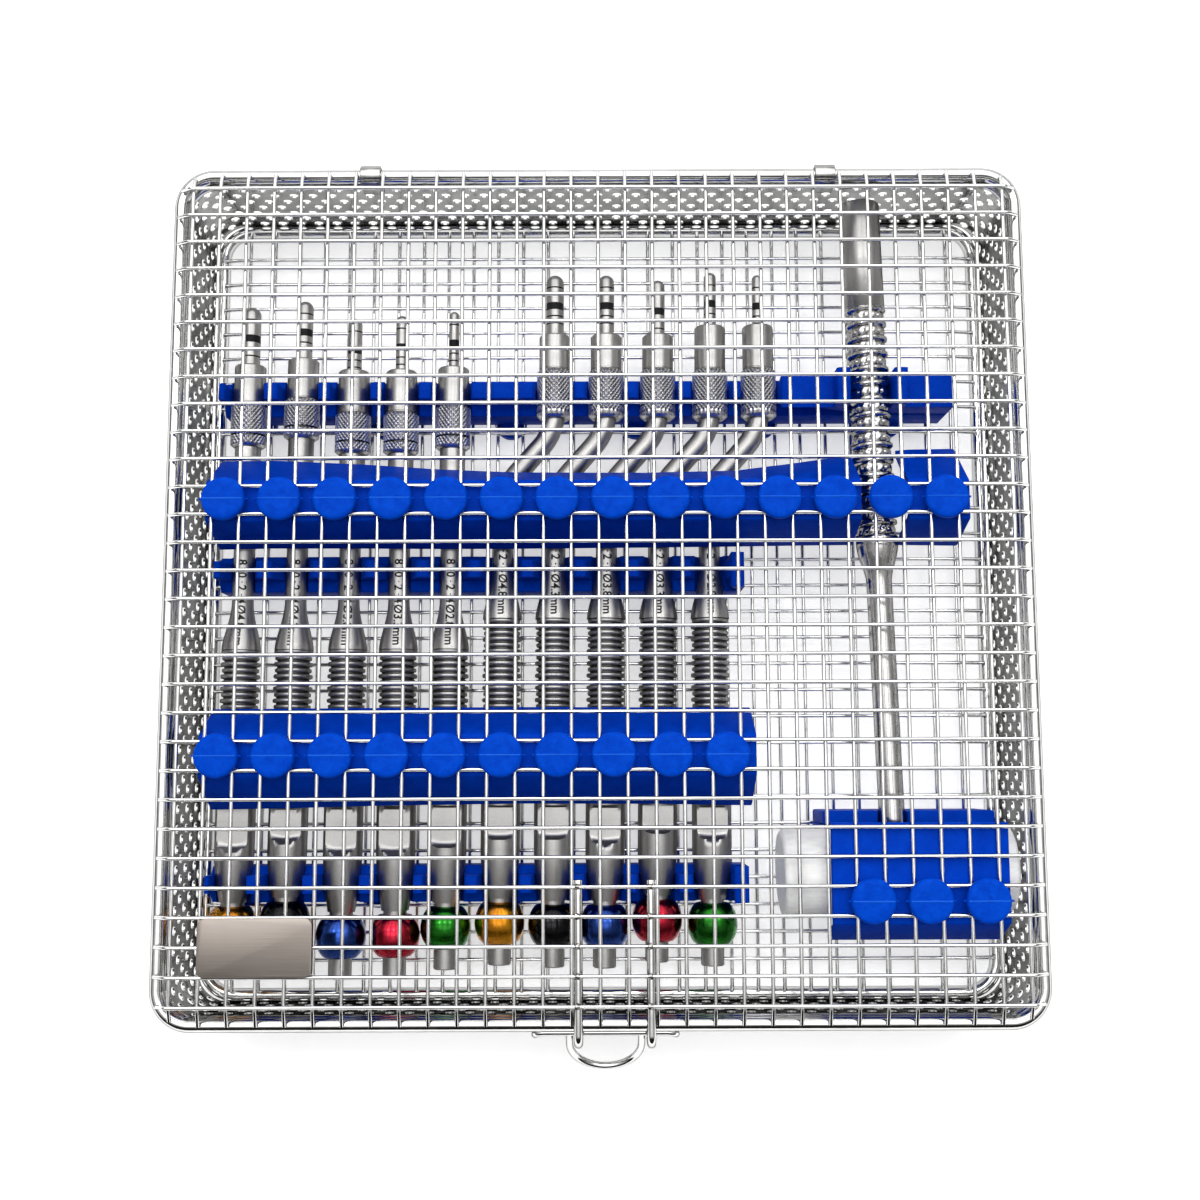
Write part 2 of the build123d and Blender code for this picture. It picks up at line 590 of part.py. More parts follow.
def depth_stop(row, bent):
    """The knurled nut and its smooth collar, round the tip's root."""
    index = (BENT_TOOLS if bent else STRAIGHT_TOOLS).index(row)
    seat, knurl, collar = row[2:5]
    bore = TIP_DIAMETERS[index] + 2 * STOP_FIT
    end = seat + knurl + collar
    nut = turned([(seat, KNURL_D), (seat + knurl, KNURL_D), (seat + knurl, COLLAR_D), (end, COLLAR_D)],
                 TOOL_SIDES, bore)
    return Pos(BENT_OFFSET if bent else 0, 0, 0) * nut


def colour_ball():
    """The anodised barrel that codes the tip size, pressed on the spindle."""
    half = BALL_L / 2
    flank = BALL_L * BALL_FLANK
    return turned([(-half, BALL_END_D), (-half + flank, BALL_D), (half - flank, BALL_D),
                   (half, BALL_END_D)], TOOL_SIDES, SPINDLE_D + 2 * BALL_FIT)


def lay_tool(index, shape):
    """Put a tool, modelled along +Y about its ball, in its place in the tray."""
    ball_x = (STRAIGHT_TOOLS + BENT_TOOLS)[index][0]
    turn = -degrees(atan2(tool_slant(index), 1))
    return Pos(ball_x, BALL_Y, TOOL_AXIS_Z) * Rot(0, 0, turn) * shape


# ---------------------------------------------------------------- mallet
def lay_mallet(shape):
    """Put a mallet piece, modelled about the head centre with the handle on +Y, in place."""
    return Pos(HEAD_X, HEAD_Y, MALLET_Z) * Rot(0, 0, MALLET_YAW) * shape


def mallet_handle():
    """Shaft, ferrule, ribbed grip and smooth end, turned from one bar."""
    grip_end = HANDLE_END - HANDLE_TUBE_L
    grip_start = grip_end - HANDLE_GRIP_L
    return turned([(HEAD_D / 2 - SOCKET_DEPTH, HANDLE_SHAFT_D),
                   (grip_start - FERRULE_L, HANDLE_SHAFT_D), (grip_start, HANDLE_GRIP_D),
                   (grip_end, HANDLE_GRIP_D), (grip_end, HANDLE_TUBE_D), (HANDLE_END, HANDLE_TUBE_D)],
                  TOOL_SIDES)


def head_piece(points):
    """A piece of the mallet head, given as (distance along the head, diameter)."""
    return turned(points, MALLET_SIDES).rotate(Axis.Z, -90)


def mallet_core():
    """The steel middle of the head, drilled for the shaft."""
    half = HEAD_L / 2 - FACE_L
    socket = HANDLE_SHAFT_D + 2 * STOP_FIT
    return head_piece([(-half, HEAD_D), (half, HEAD_D)]) - turned(
        [(HEAD_D / 2 - SOCKET_DEPTH, socket), (HEAD_D, socket)], TOOL_SIDES)


def mallet_face(side):
    """A nylon striking face with a chamfered rim."""
    start = HEAD_L / 2 - FACE_L
    end = HEAD_L / 2
    face = head_piece([(start, HEAD_D), (end - FACE_CHAMFER, HEAD_D), (end, HEAD_D - 2 * FACE_CHAMFER)])
    return face if side > 0 else face.rotate(Axis.Z, 180)


# ---------------------------------------------------------------- write the sub-parts
def main():
    os.makedirs("parts", exist_ok=True)
    save("lid_frame_rod", rod_loop(LID_HALF_X, LID_HALF_Y, LID_Z))
    save("base_rim_rod", rod_loop(LID_HALF_X, LID_HALF_Y, RIM_Z))
    save("base_floor_rod", rod_loop(FLOOR_HALF_X, FLOOR_HALF_Y, FLOOR_ROD_Z))
    long_wires, cross_wires = lid_mesh()
    save("lid_long_wires", long_wires)
    save("lid_cross_wires", cross_wires)
    long_wires, cross_wires = floor_mesh()
    save("floor_long_wires", long_wires)
    save("floor_cross_wires", cross_wires)
    for name, panel in wall_band().items():
        save(name, panel)
    save("hinge_strap_left", hinge_strap(-STRAP_CELL * CELL_X))
    save("hinge_strap_right", hinge_strap(STRAP_CELL * CELL_X))

    save("latch_eye_left", latch_eye(EYE_LEFT_X))
    save("latch_eye_right", latch_eye(EYE_RIGHT_X))
    save("latch_bail", latch_bail())
    save("name_plate", name_plate())

    back = strip(BACK_STRIP_X, roof_profile(BACK_STRIP_Y, BACK_STRIP_FLAPS, SHAFT_D),
                 BACK_BUTTONS, BACK_STRIP_Y)
    grip_r = HANDLE_GRIP_D / 2 + 2 * RACK_CLEAR
    back -= Pos(mallet_x(BACK_STRIP_Y), BACK_STRIP_Y, MALLET_Z) * Box(
        2 * grip_r, 4 * STRIP_BAND, 2 * grip_r)
    save("lid_strip_back", back)
    front = roof_profile(FRONT_STRIP_Y, FRONT_STRIP_FLAPS, GRIP_D)
    save("lid_strip_front", strip(FRONT_STRIP_X, front, FRONT_BUTTONS, FRONT_STRIP_Y))
    save("lid_strip_mallet", strip(MALLET_STRIP_X, mallet_profile(), MALLET_BUTTONS, MALLET_STRIP_Y))

    save("rack_back", back_rack())
    for name, y in (("rack_middle", MIDDLE_RACK_Y), ("rack_front", FRONT_RACK_Y)):
        seats = [(tool_x(i, y), widest_handle(i >= 5, y) / 2) for i in range(10)]
        save(name, rack(y, SHORT_RACK_RIGHT, seats))
    save("mallet_rack", mallet_rack())

    for kind, rows in (("straight", STRAIGHT_TOOLS), ("bent", BENT_TOOLS)):
        for i, row in enumerate(rows):
            index = i + (5 if kind == "bent" else 0)
            bent = kind == "bent"
            save(f"osteotome_{kind}_{i + 1}", lay_tool(index, osteotome(row, bent)))
            save(f"depth_stop_{kind}_{i + 1}", lay_tool(index, depth_stop(row, bent)))
            save(f"colour_ball_{kind}_{i + 1}", lay_tool(index, colour_ball()))

    save("mallet_handle", lay_mallet(mallet_handle()))
    save("mallet_core", lay_mallet(mallet_core()))
    save("mallet_face_left", lay_mallet(mallet_face(-1)))
    save("mallet_face_right", lay_mallet(mallet_face(1)))


main()
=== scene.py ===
"""Looks of a dental instrument cassette: a hinged wire-mesh tray with silicone
holders, ten osteotomes and a surgical mallet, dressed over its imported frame.

Sizes are in millimetres until a piece is set down in the scene, in metres.
"""
from __future__ import annotations

import logging
import math
from dataclasses import dataclass, field
from enum import Enum

import bmesh
import bpy
from mathutils import Matrix, Vector

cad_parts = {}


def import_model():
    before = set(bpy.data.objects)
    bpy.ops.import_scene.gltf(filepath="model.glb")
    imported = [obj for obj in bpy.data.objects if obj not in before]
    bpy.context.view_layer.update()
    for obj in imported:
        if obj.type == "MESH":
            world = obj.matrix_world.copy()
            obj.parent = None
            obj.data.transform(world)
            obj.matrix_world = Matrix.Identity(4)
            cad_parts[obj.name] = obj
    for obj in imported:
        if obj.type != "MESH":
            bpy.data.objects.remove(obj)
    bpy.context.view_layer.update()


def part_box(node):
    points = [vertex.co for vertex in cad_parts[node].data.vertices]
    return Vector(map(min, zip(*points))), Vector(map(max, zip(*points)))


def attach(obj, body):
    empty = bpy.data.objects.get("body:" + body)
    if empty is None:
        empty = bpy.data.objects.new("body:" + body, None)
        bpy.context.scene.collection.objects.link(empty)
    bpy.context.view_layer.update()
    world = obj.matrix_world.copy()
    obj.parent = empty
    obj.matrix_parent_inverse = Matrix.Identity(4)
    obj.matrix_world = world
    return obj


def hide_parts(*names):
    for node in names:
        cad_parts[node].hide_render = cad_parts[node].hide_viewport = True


log = logging.getLogger("cassette")

Vec2 = tuple[float, float]
Vec3 = tuple[float, float, float]
Colour = tuple[float, float, float]
Verts = list[bmesh.types.BMVert]
Tree = bpy.types.NodeTree
Node = bpy.types.Node
Socket = bpy.types.NodeSocket

# Sizes shared by several pieces, and facets round a drawn or turned shape.
MM = 0.001
WIRE_SIDES = 12
BAR_SIDES = 16
ROD_SIDES = 24
TURNED_SIDES = 48
CUT_DIST = 1e-4
TOOL_Z = 18.0
FLAP_CLEAR = 1.0
SEAT_CLEAR = 0.25
STRIP_T = 1.7
FINGER_TOP = 30.5
FOOT_D = 9.0
STEM_W = 5.4
DEPTH_MARKS: tuple[Vec2, ...] = ((14.0, 13.6), (12.0, 11.6), (10.0, 8.0), (4.0, 3.6))
RIB_CREST: tuple[Vec2, ...] = ((0.33, 0.3), (0.4, 0.11), (0.5, 0.02), (0.66, 0.0), (0.82, 0.02),
                               (0.92, 0.11), (0.99, 0.3))


class Body(Enum):
    """The moving bodies of the cassette."""

    BASE = "base"
    LID = "lid"
    LATCH = "latch"


class Slot(Enum):
    """The finishes that the record names."""

    WIRE = "polished_wire"
    SHEET = "perforated_sheet"
    PLATE = "plate_steel"
    INSTRUMENT = "instrument_steel"
    SILICONE = "blue_silicone"
    NYLON = "nylon"
    GOLD = "ball_gold"
    BLACK = "ball_black"
    BLUE = "ball_blue"
    RED = "ball_red"
    GREEN = "ball_green"


class Along(Enum):
    """The axis that a prism's section is drawn across."""

    X = 0
    Y = 1
    Z = 2


# ---------------------------------------------------------------- node helpers
def feed(tree: Tree, target: Node, inputs: dict) -> None:
    """Give a node's inputs their values, or a link where the value is an output socket."""
    for key, value in inputs.items():
        if isinstance(value, Socket):
            tree.links.new(value, target.inputs[key])
        else:
            target.inputs[key].default_value = value


def node(tree: Tree, kind: str, inputs: dict | None = None,
         **settings) -> Node:
    """Add a node to a tree.

    Args:
        tree: The tree that the node joins.
        kind: The node's type.
        inputs: A value or an output socket for each named or numbered input.
        settings: Properties of the node itself.

    Returns:
        The new node.
    """
    made = tree.nodes.new(kind)
    for key, value in settings.items():
        setattr(made, key, value)
    feed(tree, made, inputs or {})
    return made


def reckon(tree: Tree, operation: str, first, second) -> Socket:
    """The result of a math node on two values or sockets."""
    return node(tree, "ShaderNodeMath", {0: first, 1: second}, operation=operation).outputs[0]


def remap(tree: Tree, value: Socket, source: tuple,
          target: Vec2 = (0.0, 1.0), curve: str = "LINEAR") -> Socket:
    """Carry a value from one range over to another.

    Args:
        tree: The tree that the node joins.
        value: The value's socket.
        source: The range that it has, as numbers or sockets.
        target: The range that it gets.
        curve: The way from one end to the other.

    Returns:
        The result's socket.
    """
    ends = {"Value": value, "From Min": source[0], "From Max": source[1],
            "To Min": target[0], "To Max": target[1]}
    return node(tree, "ShaderNodeMapRange", ends, interpolation_type=curve).outputs["Result"]


def group_shell(name: str, inputs: dict[str, tuple[str, object]], output: str) -> tuple[
        Tree, Node, Node]:
    """Start a shader node group that gives one value.

    Args:
        name: The group's name.
        inputs: A socket type and a first value for each input.
        output: The value's name.

    Returns:
        The group's tree, its input node and its output node.
    """
    tree = bpy.data.node_groups.new(name, "ShaderNodeTree")
    for title, (kind, value) in inputs.items():
        socket = tree.interface.new_socket(name=title, in_out="INPUT", socket_type=kind)
        socket.default_value = value
    tree.interface.new_socket(name=output, in_out="OUTPUT", socket_type="NodeSocketFloat")
    return tree, tree.nodes.new("NodeGroupInput"), tree.nodes.new("NodeGroupOutput")


def grain_field() -> Tree:
    """The fine grain of a worked surface, stretched along the way it was worked.

    Returns:
        A group that gives Grain, a value round 0.5.
    """
    name = "grain_field"
    if name in bpy.data.node_groups:
        return bpy.data.node_groups[name]
    tree, start, end = group_shell(name, {"Stretch": ("NodeSocketVector", (1.0, 1.0, 1.0)),
                                          "Detail": ("NodeSocketFloat", 2.0)}, "Grain")
    place = node(tree, "ShaderNodeTexCoord").outputs["Object"]
    spread = node(tree, "ShaderNodeVectorMath", {0: place, 1: start.outputs["Stretch"]},
                  operation="MULTIPLY")
    noise = node(tree, "ShaderNodeTexNoise", {"Vector": spread.outputs[0], "Scale": 1.0,
                                              "Detail": start.outputs["Detail"], "Roughness": 0.6})
    feed(tree, end, {"Grain": noise.outputs["Fac"]})
    return tree


def haze_field() -> Tree:
    """Broad soft blotches left by handling and washing.

    Returns:
        A group that gives Haze, from 0 to 1.
    """
    name = "haze_field"
    if name in bpy.data.node_groups:
        return bpy.data.node_groups[name]
    tree, start, end = group_shell(name, {"Size": ("NodeSocketFloat", 40.0),
                                          "Edge": ("NodeSocketFloat", 0.15)}, "Haze")
    place = node(tree, "ShaderNodeTexCoord").outputs["Object"]
    noise = node(tree, "ShaderNodeTexNoise", {"Vector": place, "Scale": start.outputs["Size"],
                                              "Detail": 3.0, "Roughness": 0.55, "Distortion": 0.4})
    edges = [reckon(tree, sign, 0.5, start.outputs["Edge"]) for sign in ("SUBTRACT", "ADD")]
    feed(tree, end, {"Haze": remap(tree, noise.outputs["Fac"], tuple(edges))})
    return tree


# ---------------------------------------------------------------- finishes
@dataclass(frozen=True)
class Finish:
    """A worked surface: its colours, its gloss and its grain.

    Colours are linear, sizes are features per metre and heights are metres.
    """

    title: str
    colour: Colour
    worn: Colour
    metallic: float = 1.0
    roughness: float = 0.2
    spread: float = 0.08
    stretch: Vec3 = (900.0, 900.0, 900.0)
    detail: float = 2.0
    relief: float = 0.00002
    bite: float = 0.4
    haze_size: float = 60.0
    coat: float = 0.0
    coat_roughness: float = 0.05
    scatter: float = 0.0
    specular: float = 0.5
    rim: float = 1.0

    def material(self) -> bpy.types.Material:
        """Build the procedural material, or give the one built before.

        Returns:
            The material.
        """
        name = "worked_" + self.title
        if name in bpy.data.materials:
            return bpy.data.materials[name]
        made = bpy.data.materials.new(name)
        made.use_nodes = True
        tree = made.node_tree
        shader = tree.nodes["Principled BSDF"]
        grain = node(tree, "ShaderNodeGroup", {"Stretch": self.stretch, "Detail": self.detail},
                     node_tree=grain_field()).outputs["Grain"]
        haze = node(tree, "ShaderNodeGroup", {"Size": self.haze_size, "Edge": 0.2},
                    node_tree=haze_field()).outputs["Haze"]
        blend = node(tree, "ShaderNodeMix", {0: haze, 6: (*self.colour, 1.0),
                                             7: (*self.worn, 1.0)}, data_type="RGBA").outputs[2]
        tone = remap(tree, grain, (0.3, 0.7), (0.92, 1.05))
        tinted = node(tree, "ShaderNodeMix", {0: 1.0, 6: blend, 7: tone}, data_type="RGBA",
                      blend_type="MULTIPLY")
        smooth, rough = max(0.02, self.roughness - self.spread), self.roughness + self.spread
        bump = node(tree, "ShaderNodeBump", {"Height": grain, "Strength": self.bite,
                                             "Distance": self.relief})
        feed(tree, shader, {
            "Base Color": tinted.outputs[2],
            "Roughness": remap(tree, grain, (0.25, 0.75), (smooth, rough)),
            "Normal": bump.outputs["Normal"],
            "Metallic": self.metallic,
            "Specular IOR Level": self.specular,
            "Specular Tint": (self.rim, self.rim, self.rim, 1.0),
            "Coat Weight": self.coat,
            "Coat Roughness": self.coat_roughness,
            "Subsurface Weight": self.scatter,
            "Subsurface Scale": 0.002})
        return made


WIRE = Finish("polished_wire", (0.93, 0.93, 0.92), (0.86, 0.86, 0.85), roughness=0.12,
              spread=0.03, stretch=(500.0, 500.0, 500.0), relief=0.00001, rim=0.0)
ROD = Finish("polished_rod", (0.8, 0.8, 0.79), (0.7, 0.7, 0.69), roughness=0.1, spread=0.05,
             stretch=(260.0, 260.0, 260.0), relief=0.00006, rim=0.0)
SHEET = Finish("perforated_sheet", (0.66, 0.66, 0.65), (0.44, 0.44, 0.435), spread=0.1,
               stretch=(150.0, 150.0, 700.0), relief=0.00006, rim=0.0)
STRAP = Finish("strap_sheet", (0.5, 0.5, 0.49), (0.42, 0.42, 0.41), spread=0.06,
               stretch=(1500.0, 90.0, 90.0), rim=0.3)
PLATE = Finish("brushed_plate", (0.36, 0.318, 0.285), (0.3, 0.264, 0.237), roughness=0.46,
               stretch=(60.0, 2600.0, 400.0), detail=3.0, relief=0.00004, haze_size=35.0, rim=0.4)
WELD = Finish("weld_bead", (0.6, 0.59, 0.57), (0.2, 0.19, 0.18), spread=0.12, relief=0.0003,
              haze_size=900.0, rim=0.3)
SATIN = Finish("satin_instrument_steel", (0.46, 0.452, 0.44), (0.4, 0.392, 0.38), roughness=0.34,
               spread=0.03, stretch=(3200.0, 1600.0, 3200.0), relief=0.00001, haze_size=90.0,
               rim=0.1)
KNURL = Finish("knurled_steel", (0.86, 0.85, 0.84), (0.78, 0.77, 0.76), roughness=0.3,
               spread=0.05, relief=0.00001, haze_size=120.0, rim=0.1)
BRIGHT = Finish("bright_instrument_steel", (0.66, 0.65, 0.635), (0.55, 0.54, 0.53),
                roughness=0.12, spread=0.05, stretch=(700.0, 2400.0, 700.0), relief=0.00001,
                haze_size=120.0, rim=0.1)
RING = Finish("burnt_marking", (0.012, 0.012, 0.013), (0.022, 0.022, 0.024), metallic=0.0,
              roughness=0.45, spread=0.05, stretch=(2000.0, 2000.0, 2000.0), specular=0.08)
# Painted shade: a dark steel laid on the bottoms of the grip's grooves and in the knurl's pits,
# where shade falls.
PAINTED_SHADE = Finish("painted_shade_steel", (0.09, 0.087, 0.084), (0.05, 0.048, 0.047), roughness=0.3,
                spread=0.05, relief=0.00001, rim=0.3)
# Painted highlight: a lighter blue laid on the top of each button's seam ridge, where light
# catches it.
SEAM_HIGHLIGHT = Finish("blue_silicone_seam_highlight", (0.005, 0.1, 0.66), (0.01, 0.13, 0.74), metallic=0.0,
              roughness=0.4, spread=0.1, stretch=(900.0, 1700.0, 900.0), detail=4.0,
              relief=0.0001, specular=0.08)
SILICONE = Finish("blue_silicone", (0.0, 0.036, 0.42), (0.0, 0.048, 0.5), metallic=0.0,
                  roughness=0.45, spread=0.1, stretch=(1500.0, 1500.0, 1500.0), detail=4.0,
                  relief=0.0001, bite=0.5, haze_size=260.0, specular=0.015)
BUTTON = Finish("blue_silicone_button", (0.0, 0.048, 0.5), (0.001, 0.07, 0.62), metallic=0.0,
                roughness=0.4, spread=0.1, stretch=(900.0, 1700.0, 900.0), detail=4.0,
                relief=0.00012, haze_size=420.0, specular=0.015)
NYLON = Finish("nylon", (0.96, 0.96, 0.95), (0.9, 0.9, 0.89), metallic=0.0, roughness=0.4,
               stretch=(300.0, 900.0, 900.0), relief=0.00005, scatter=0.1, specular=0.3)


def anodised(title: str, colour: Colour, deep: Colour) -> Finish:
    """The dyed oxide skin of a turned aluminium barrel."""
    return Finish("anodised_" + title, colour, deep, spread=0.06, stretch=(160.0, 5200.0, 160.0),
                  bite=0.5, haze_size=150.0, coat=0.3, coat_roughness=0.08)


BALLS: tuple[tuple[Slot, Finish], ...] = (
    (Slot.GOLD, anodised("gold", (0.8, 0.36, 0.01), (0.5, 0.17, 0.004))),
    (Slot.BLACK, anodised("black", (0.01, 0.01, 0.012), (0.004, 0.004, 0.005))),
    (Slot.BLUE, anodised("blue", (0.02, 0.08, 0.4), (0.008, 0.035, 0.2))),
    (Slot.RED, anodised("red", (0.55, 0.012, 0.04), (0.3, 0.004, 0.015))),
    (Slot.GREEN, anodised("green", (0.012, 0.25, 0.008), (0.005, 0.1, 0.004))),
)


# ---------------------------------------------------------------- stock
def arc(centre: Vec2, radius: float, start: float, end: float, facets: int) -> list[Vec2]:
    """Points on an arc, in degrees, both ends included."""
    turns = [math.radians(start + (end - start) * i / facets) for i in range(facets + 1)]
    return [(centre[0] + radius * math.cos(t), centre[1] + radius * math.sin(t)) for t in turns]


def square(x: float, y: float, half: float) -> list[Vec2]:
    """The corners of a square about a middle."""
    return [(x - half, y - half), (x + half, y - half), (x + half, y + half), (x - half, y + half)]


def bevel(bm: bmesh.types.BMesh, edges: list, offset: float, segments: int) -> None:
    """Round some edges."""
    bmesh.ops.bevel(bm, geom=edges, offset=offset, segments=segments, profile=0.5,
                    affect="EDGES", material=-1, clamp_overlap=True)


def points_of(parts: list) -> Verts:
    """The points among the parts that an operator made."""
    return [part for part in parts if isinstance(part, bmesh.types.BMVert)]


def grow(bm: bmesh.types.BMesh, edges: list) -> tuple[Verts, list]:
    """Extrude a ring of edges in place, and give the new ring's points and edges."""
    grown = bmesh.ops.extrude_edge_only(bm, edges=edges)["geom"]
    ring = points_of(grown)
    own = set(ring)
    return ring, [g for g in grown if isinstance(g, bmesh.types.BMEdge)
                  and g.verts[0] in own and g.verts[1] in own]


def push(bm: bmesh.types.BMesh, faces: list, step: Vec3) -> None:
    """Make some faces into a solid by pushing a copy of them along a step."""
    grown = bmesh.ops.extrude_face_region(bm, geom=faces, use_keep_orig=True)["geom"]
    bmesh.ops.translate(bm, vec=step, verts=points_of(grown))


def cut(bm: bmesh.types.BMesh, at: Vec3, normal: Vec3, clear: bool = False) -> list:
    """Cut a whole mesh along a plane.

    Args:
        bm: The mesh.
        at: A point on the plane.
        normal: The plane's direction.
        clear: Whether what lies beyond the plane is cleared away.

    Returns:
        The points and edges on the cut.
    """
    return bmesh.ops.bisect_plane(bm, geom=bm.verts[:] + bm.edges[:] + bm.faces[:], dist=CUT_DIST,
                                  plane_co=at, plane_no=normal, clear_outer=clear)["geom_cut"]


class Stock:
    """Material worked in millimetres with mesh operators until it is set down as a piece."""

    def __init__(self) -> None:
        """Start with nothing."""
        self.bm = bmesh.new()

    def since(self, old: set[bmesh.types.BMVert]) -> Verts:
        """The points made since a set of old ones was taken."""
        return [v for v in self.bm.verts if v not in old]

    def tube(self, path: list[Vec3], radius: float, sides: int = WIRE_SIDES, closed: bool = False,
             round_tip: float = 0.0) -> Verts:
        """Draw a round wire along a path.

        Args:
            path: The points of its middle line.
            radius: The wire's radius.
            sides: How many facets go round it.
            closed: Whether the last point joins the first.
            round_tip: The rounding of both cut ends.

        Returns:
            The wire's points.
        """
        old = set(self.bm.verts)
        points = [Vector(p) for p in path]
        runs = [(b - a).normalized() for a, b in zip(points, points[1:] + points[:1])]
        count = len(points)
        headings = [(runs[i - 1] + runs[i]).normalized() for i in range(count)]
        if not closed:
            headings[0], headings[-1] = runs[0], runs[-2]
        turn = Vector((0, 0, 1)).rotation_difference(headings[0]).to_matrix().to_4x4()
        ring = bmesh.ops.create_circle(self.bm, radius=radius, segments=sides)["verts"]
        self.place(ring, Matrix.Translation(points[0]) @ turn)
        first = edges = list({e for v in ring for e in v.link_edges})
        for i in range(1, count):
            ring, edges = grow(self.bm, edges)
            turn = headings[i - 1].rotation_difference(headings[i]).to_matrix().to_4x4()
            step = Matrix.Translation(points[i]) @ turn @ Matrix.Translation(-points[i - 1])
            self.place(ring, step)
        if closed:
            bmesh.ops.bridge_loops(self.bm, edges=first + edges)
        else:
            for rim in (first, edges):
                bmesh.ops.edgeloop_fill(self.bm, edges=rim)
            if round_tip:
                bevel(self.bm, first + edges, round_tip, 2)
        return self.since(old)

    def lathe(self, profile: list[Vec2], sides: int) -> Verts:
        """Turn a profile about the Y axis.

        Args:
            profile: Points as (distance along +Y, radius), solid when both ends have radius 0.
            sides: How many facets go round.

        Returns:
            The turned points.
        """
        old = set(self.bm.verts)
        verts = [self.bm.verts.new((radius, along, 0)) for along, radius in profile]
        edges = [self.bm.edges.new(pair) for pair in zip(verts, verts[1:])]
        bmesh.ops.spin(self.bm, geom=verts + edges, cent=(0, 0, 0), axis=(0, 1, 0),
                       angle=math.radians(360.0), steps=sides, use_merge=True)
        bmesh.ops.remove_doubles(self.bm, verts=self.since(old), dist=CUT_DIST)
        return self.since(old)

    def prism(self, outline: list[Vec2], along: Along, start: float, length: float) -> Verts:
        """Push a flat outline along an axis.

        Args:
            outline: The section's corners, in the two other axes in their usual order.
            along: The axis that the section is pushed along.
            start: Where the section starts on that axis.
            length: How far it is pushed.

        Returns:
            The prism's points.
        """
        old = set(self.bm.verts)
        verts = []
        for a, b in outline:
            place = [a, b]
            place.insert(along.value, start)
            verts.append(self.bm.verts.new(place))
        step = [0.0, 0.0, 0.0]
        step[along.value] = length
        push(self.bm, [self.bm.faces.new(verts)], step)
        return self.since(old)

    def disc(self, profile: list[Vec2], sides: int, spot: Vec3) -> None:
        """Turn a profile about an upright axis through a spot."""
        turned = self.lathe(profile, sides)
        self.place(turned, Matrix.Translation(spot) @ Matrix.Rotation(math.pi / 2, 4, "X"))

    def soften(self, verts: Verts, offset: float, segments: int = 2, over: float = 35.0) -> None:
        """Round every edge among some points that turns by more than an angle."""
        own = set(verts)
        faces = [f for f in self.bm.faces if all(v in own for v in f.verts)]
        bmesh.ops.recalc_face_normals(self.bm, faces=faces)
        edges = [e for e in self.bm.edges if e.verts[0] in own and e.verts[1] in own
                 and len(e.link_faces) == 2 and e.calc_face_angle(0.0) > math.radians(over)]
        bevel(self.bm, edges, offset, segments)

    def place(self, verts: Verts, matrix: Matrix) -> None:
        """Move some points by a matrix."""
        bmesh.ops.transform(self.bm, matrix=matrix, verts=verts)

    def repeat(self, verts: Verts, steps: list[Vec3]) -> None:
        """Copy a finished shape to other places, and move it to the first of them.

        Args:
            verts: The shape's points.
            steps: The places, as shifts.
        """
        own = set(verts)
        faces = [f for f in self.bm.faces if f.verts[0] in own]
        edges = [e for e in self.bm.edges if e.verts[0] in own]
        for step in steps[1:]:
            grown = bmesh.ops.duplicate(self.bm, geom=list(verts) + edges + faces)["geom"]
            bmesh.ops.translate(self.bm, vec=step, verts=points_of(grown))
        bmesh.ops.translate(self.bm, vec=steps[0], verts=verts)

    def join(self, other: Stock) -> None:
        """Take over the shape of another stock, which is used up."""
        shape = bpy.data.meshes.new("shape")
        other.bm.to_mesh(shape)
        self.bm.from_mesh(shape)
        other.bm.free()
        bpy.data.meshes.remove(shape)

    def tint(self, index: int, test) -> None:
        """Give a material number to every face whose middle passes a test."""
        for face in self.bm.faces:
            if test(face.calc_center_median()):
                face.material_index = index


@dataclass
class Bench:
    """Where finished pieces are set down in the frame."""

    shift_y: float
    made: int = 0

    def set_down(self, stock: Stock, name: str, body: Body, finishes: list[Finish],
                 replaces: str | None = None, crease: float = 40.0) -> bpy.types.Object:
        """Turn worked stock into a piece of the cassette.

        Args:
            stock: The worked shape, in millimetres about the middle of the lid.
            name: The piece's name.
            body: The body that it rides on.
            finishes: Its materials, in the order of their numbers.
            replaces: The frame's node that it stands for.
            crease: The angle over which an edge stays sharp.

        Returns:
            The piece.
        """
        bm = stock.bm
        bmesh.ops.recalc_face_normals(bm, faces=bm.faces)
        for face in bm.faces:
            face.smooth = True
        bmesh.ops.translate(bm, vec=(0, self.shift_y, 0), verts=bm.verts)
        bmesh.ops.scale(bm, vec=(MM, MM, MM), verts=bm.verts)
        mesh = bpy.data.meshes.new(name)
        bm.to_mesh(mesh)
        bm.free()
        mesh.set_sharp_from_angle(angle=math.radians(crease))
        piece = bpy.data.objects.new(name, mesh)
        bpy.context.scene.collection.objects.link(piece)
        for finish in finishes:
            mesh.materials.append(finish.material())
        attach(piece, body.value)
        if replaces:
            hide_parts(replaces)
        self.made += 1
        log.info("%s on %s, %d faces", name, body.value, len(mesh.polygons))
        return piece


# ---------------------------------------------------------------- the wire body
@dataclass
class Mesh:
    """The pitch and size of the mesh wires."""

    wire_d: float = 1.0
    cell_x: float = 7.0
    cell_y: float = 7.14
    lid_long: int = 31
    lid_cross: int = 30
    floor_long: int = 29
    floor_cross: int = 28

    def half(self, count: int, pitch: float) -> float:
        """Half the run between the outermost of some evenly spaced wires."""
        return (count - 1) / 2 * pitch

    def cross_y(self, index: int) -> float:
        """Y of a lid cross wire, counted from the front."""
        return (index - (self.lid_cross - 1) / 2) * self.cell_y

    def cell(self, value: float, pitch: float, count: int) -> float:
        """The middle of the mesh cell nearest to a value."""
        shift = 0.5 if count % 2 else 0.0
        return (round(value / pitch - shift) + shift) * pitch


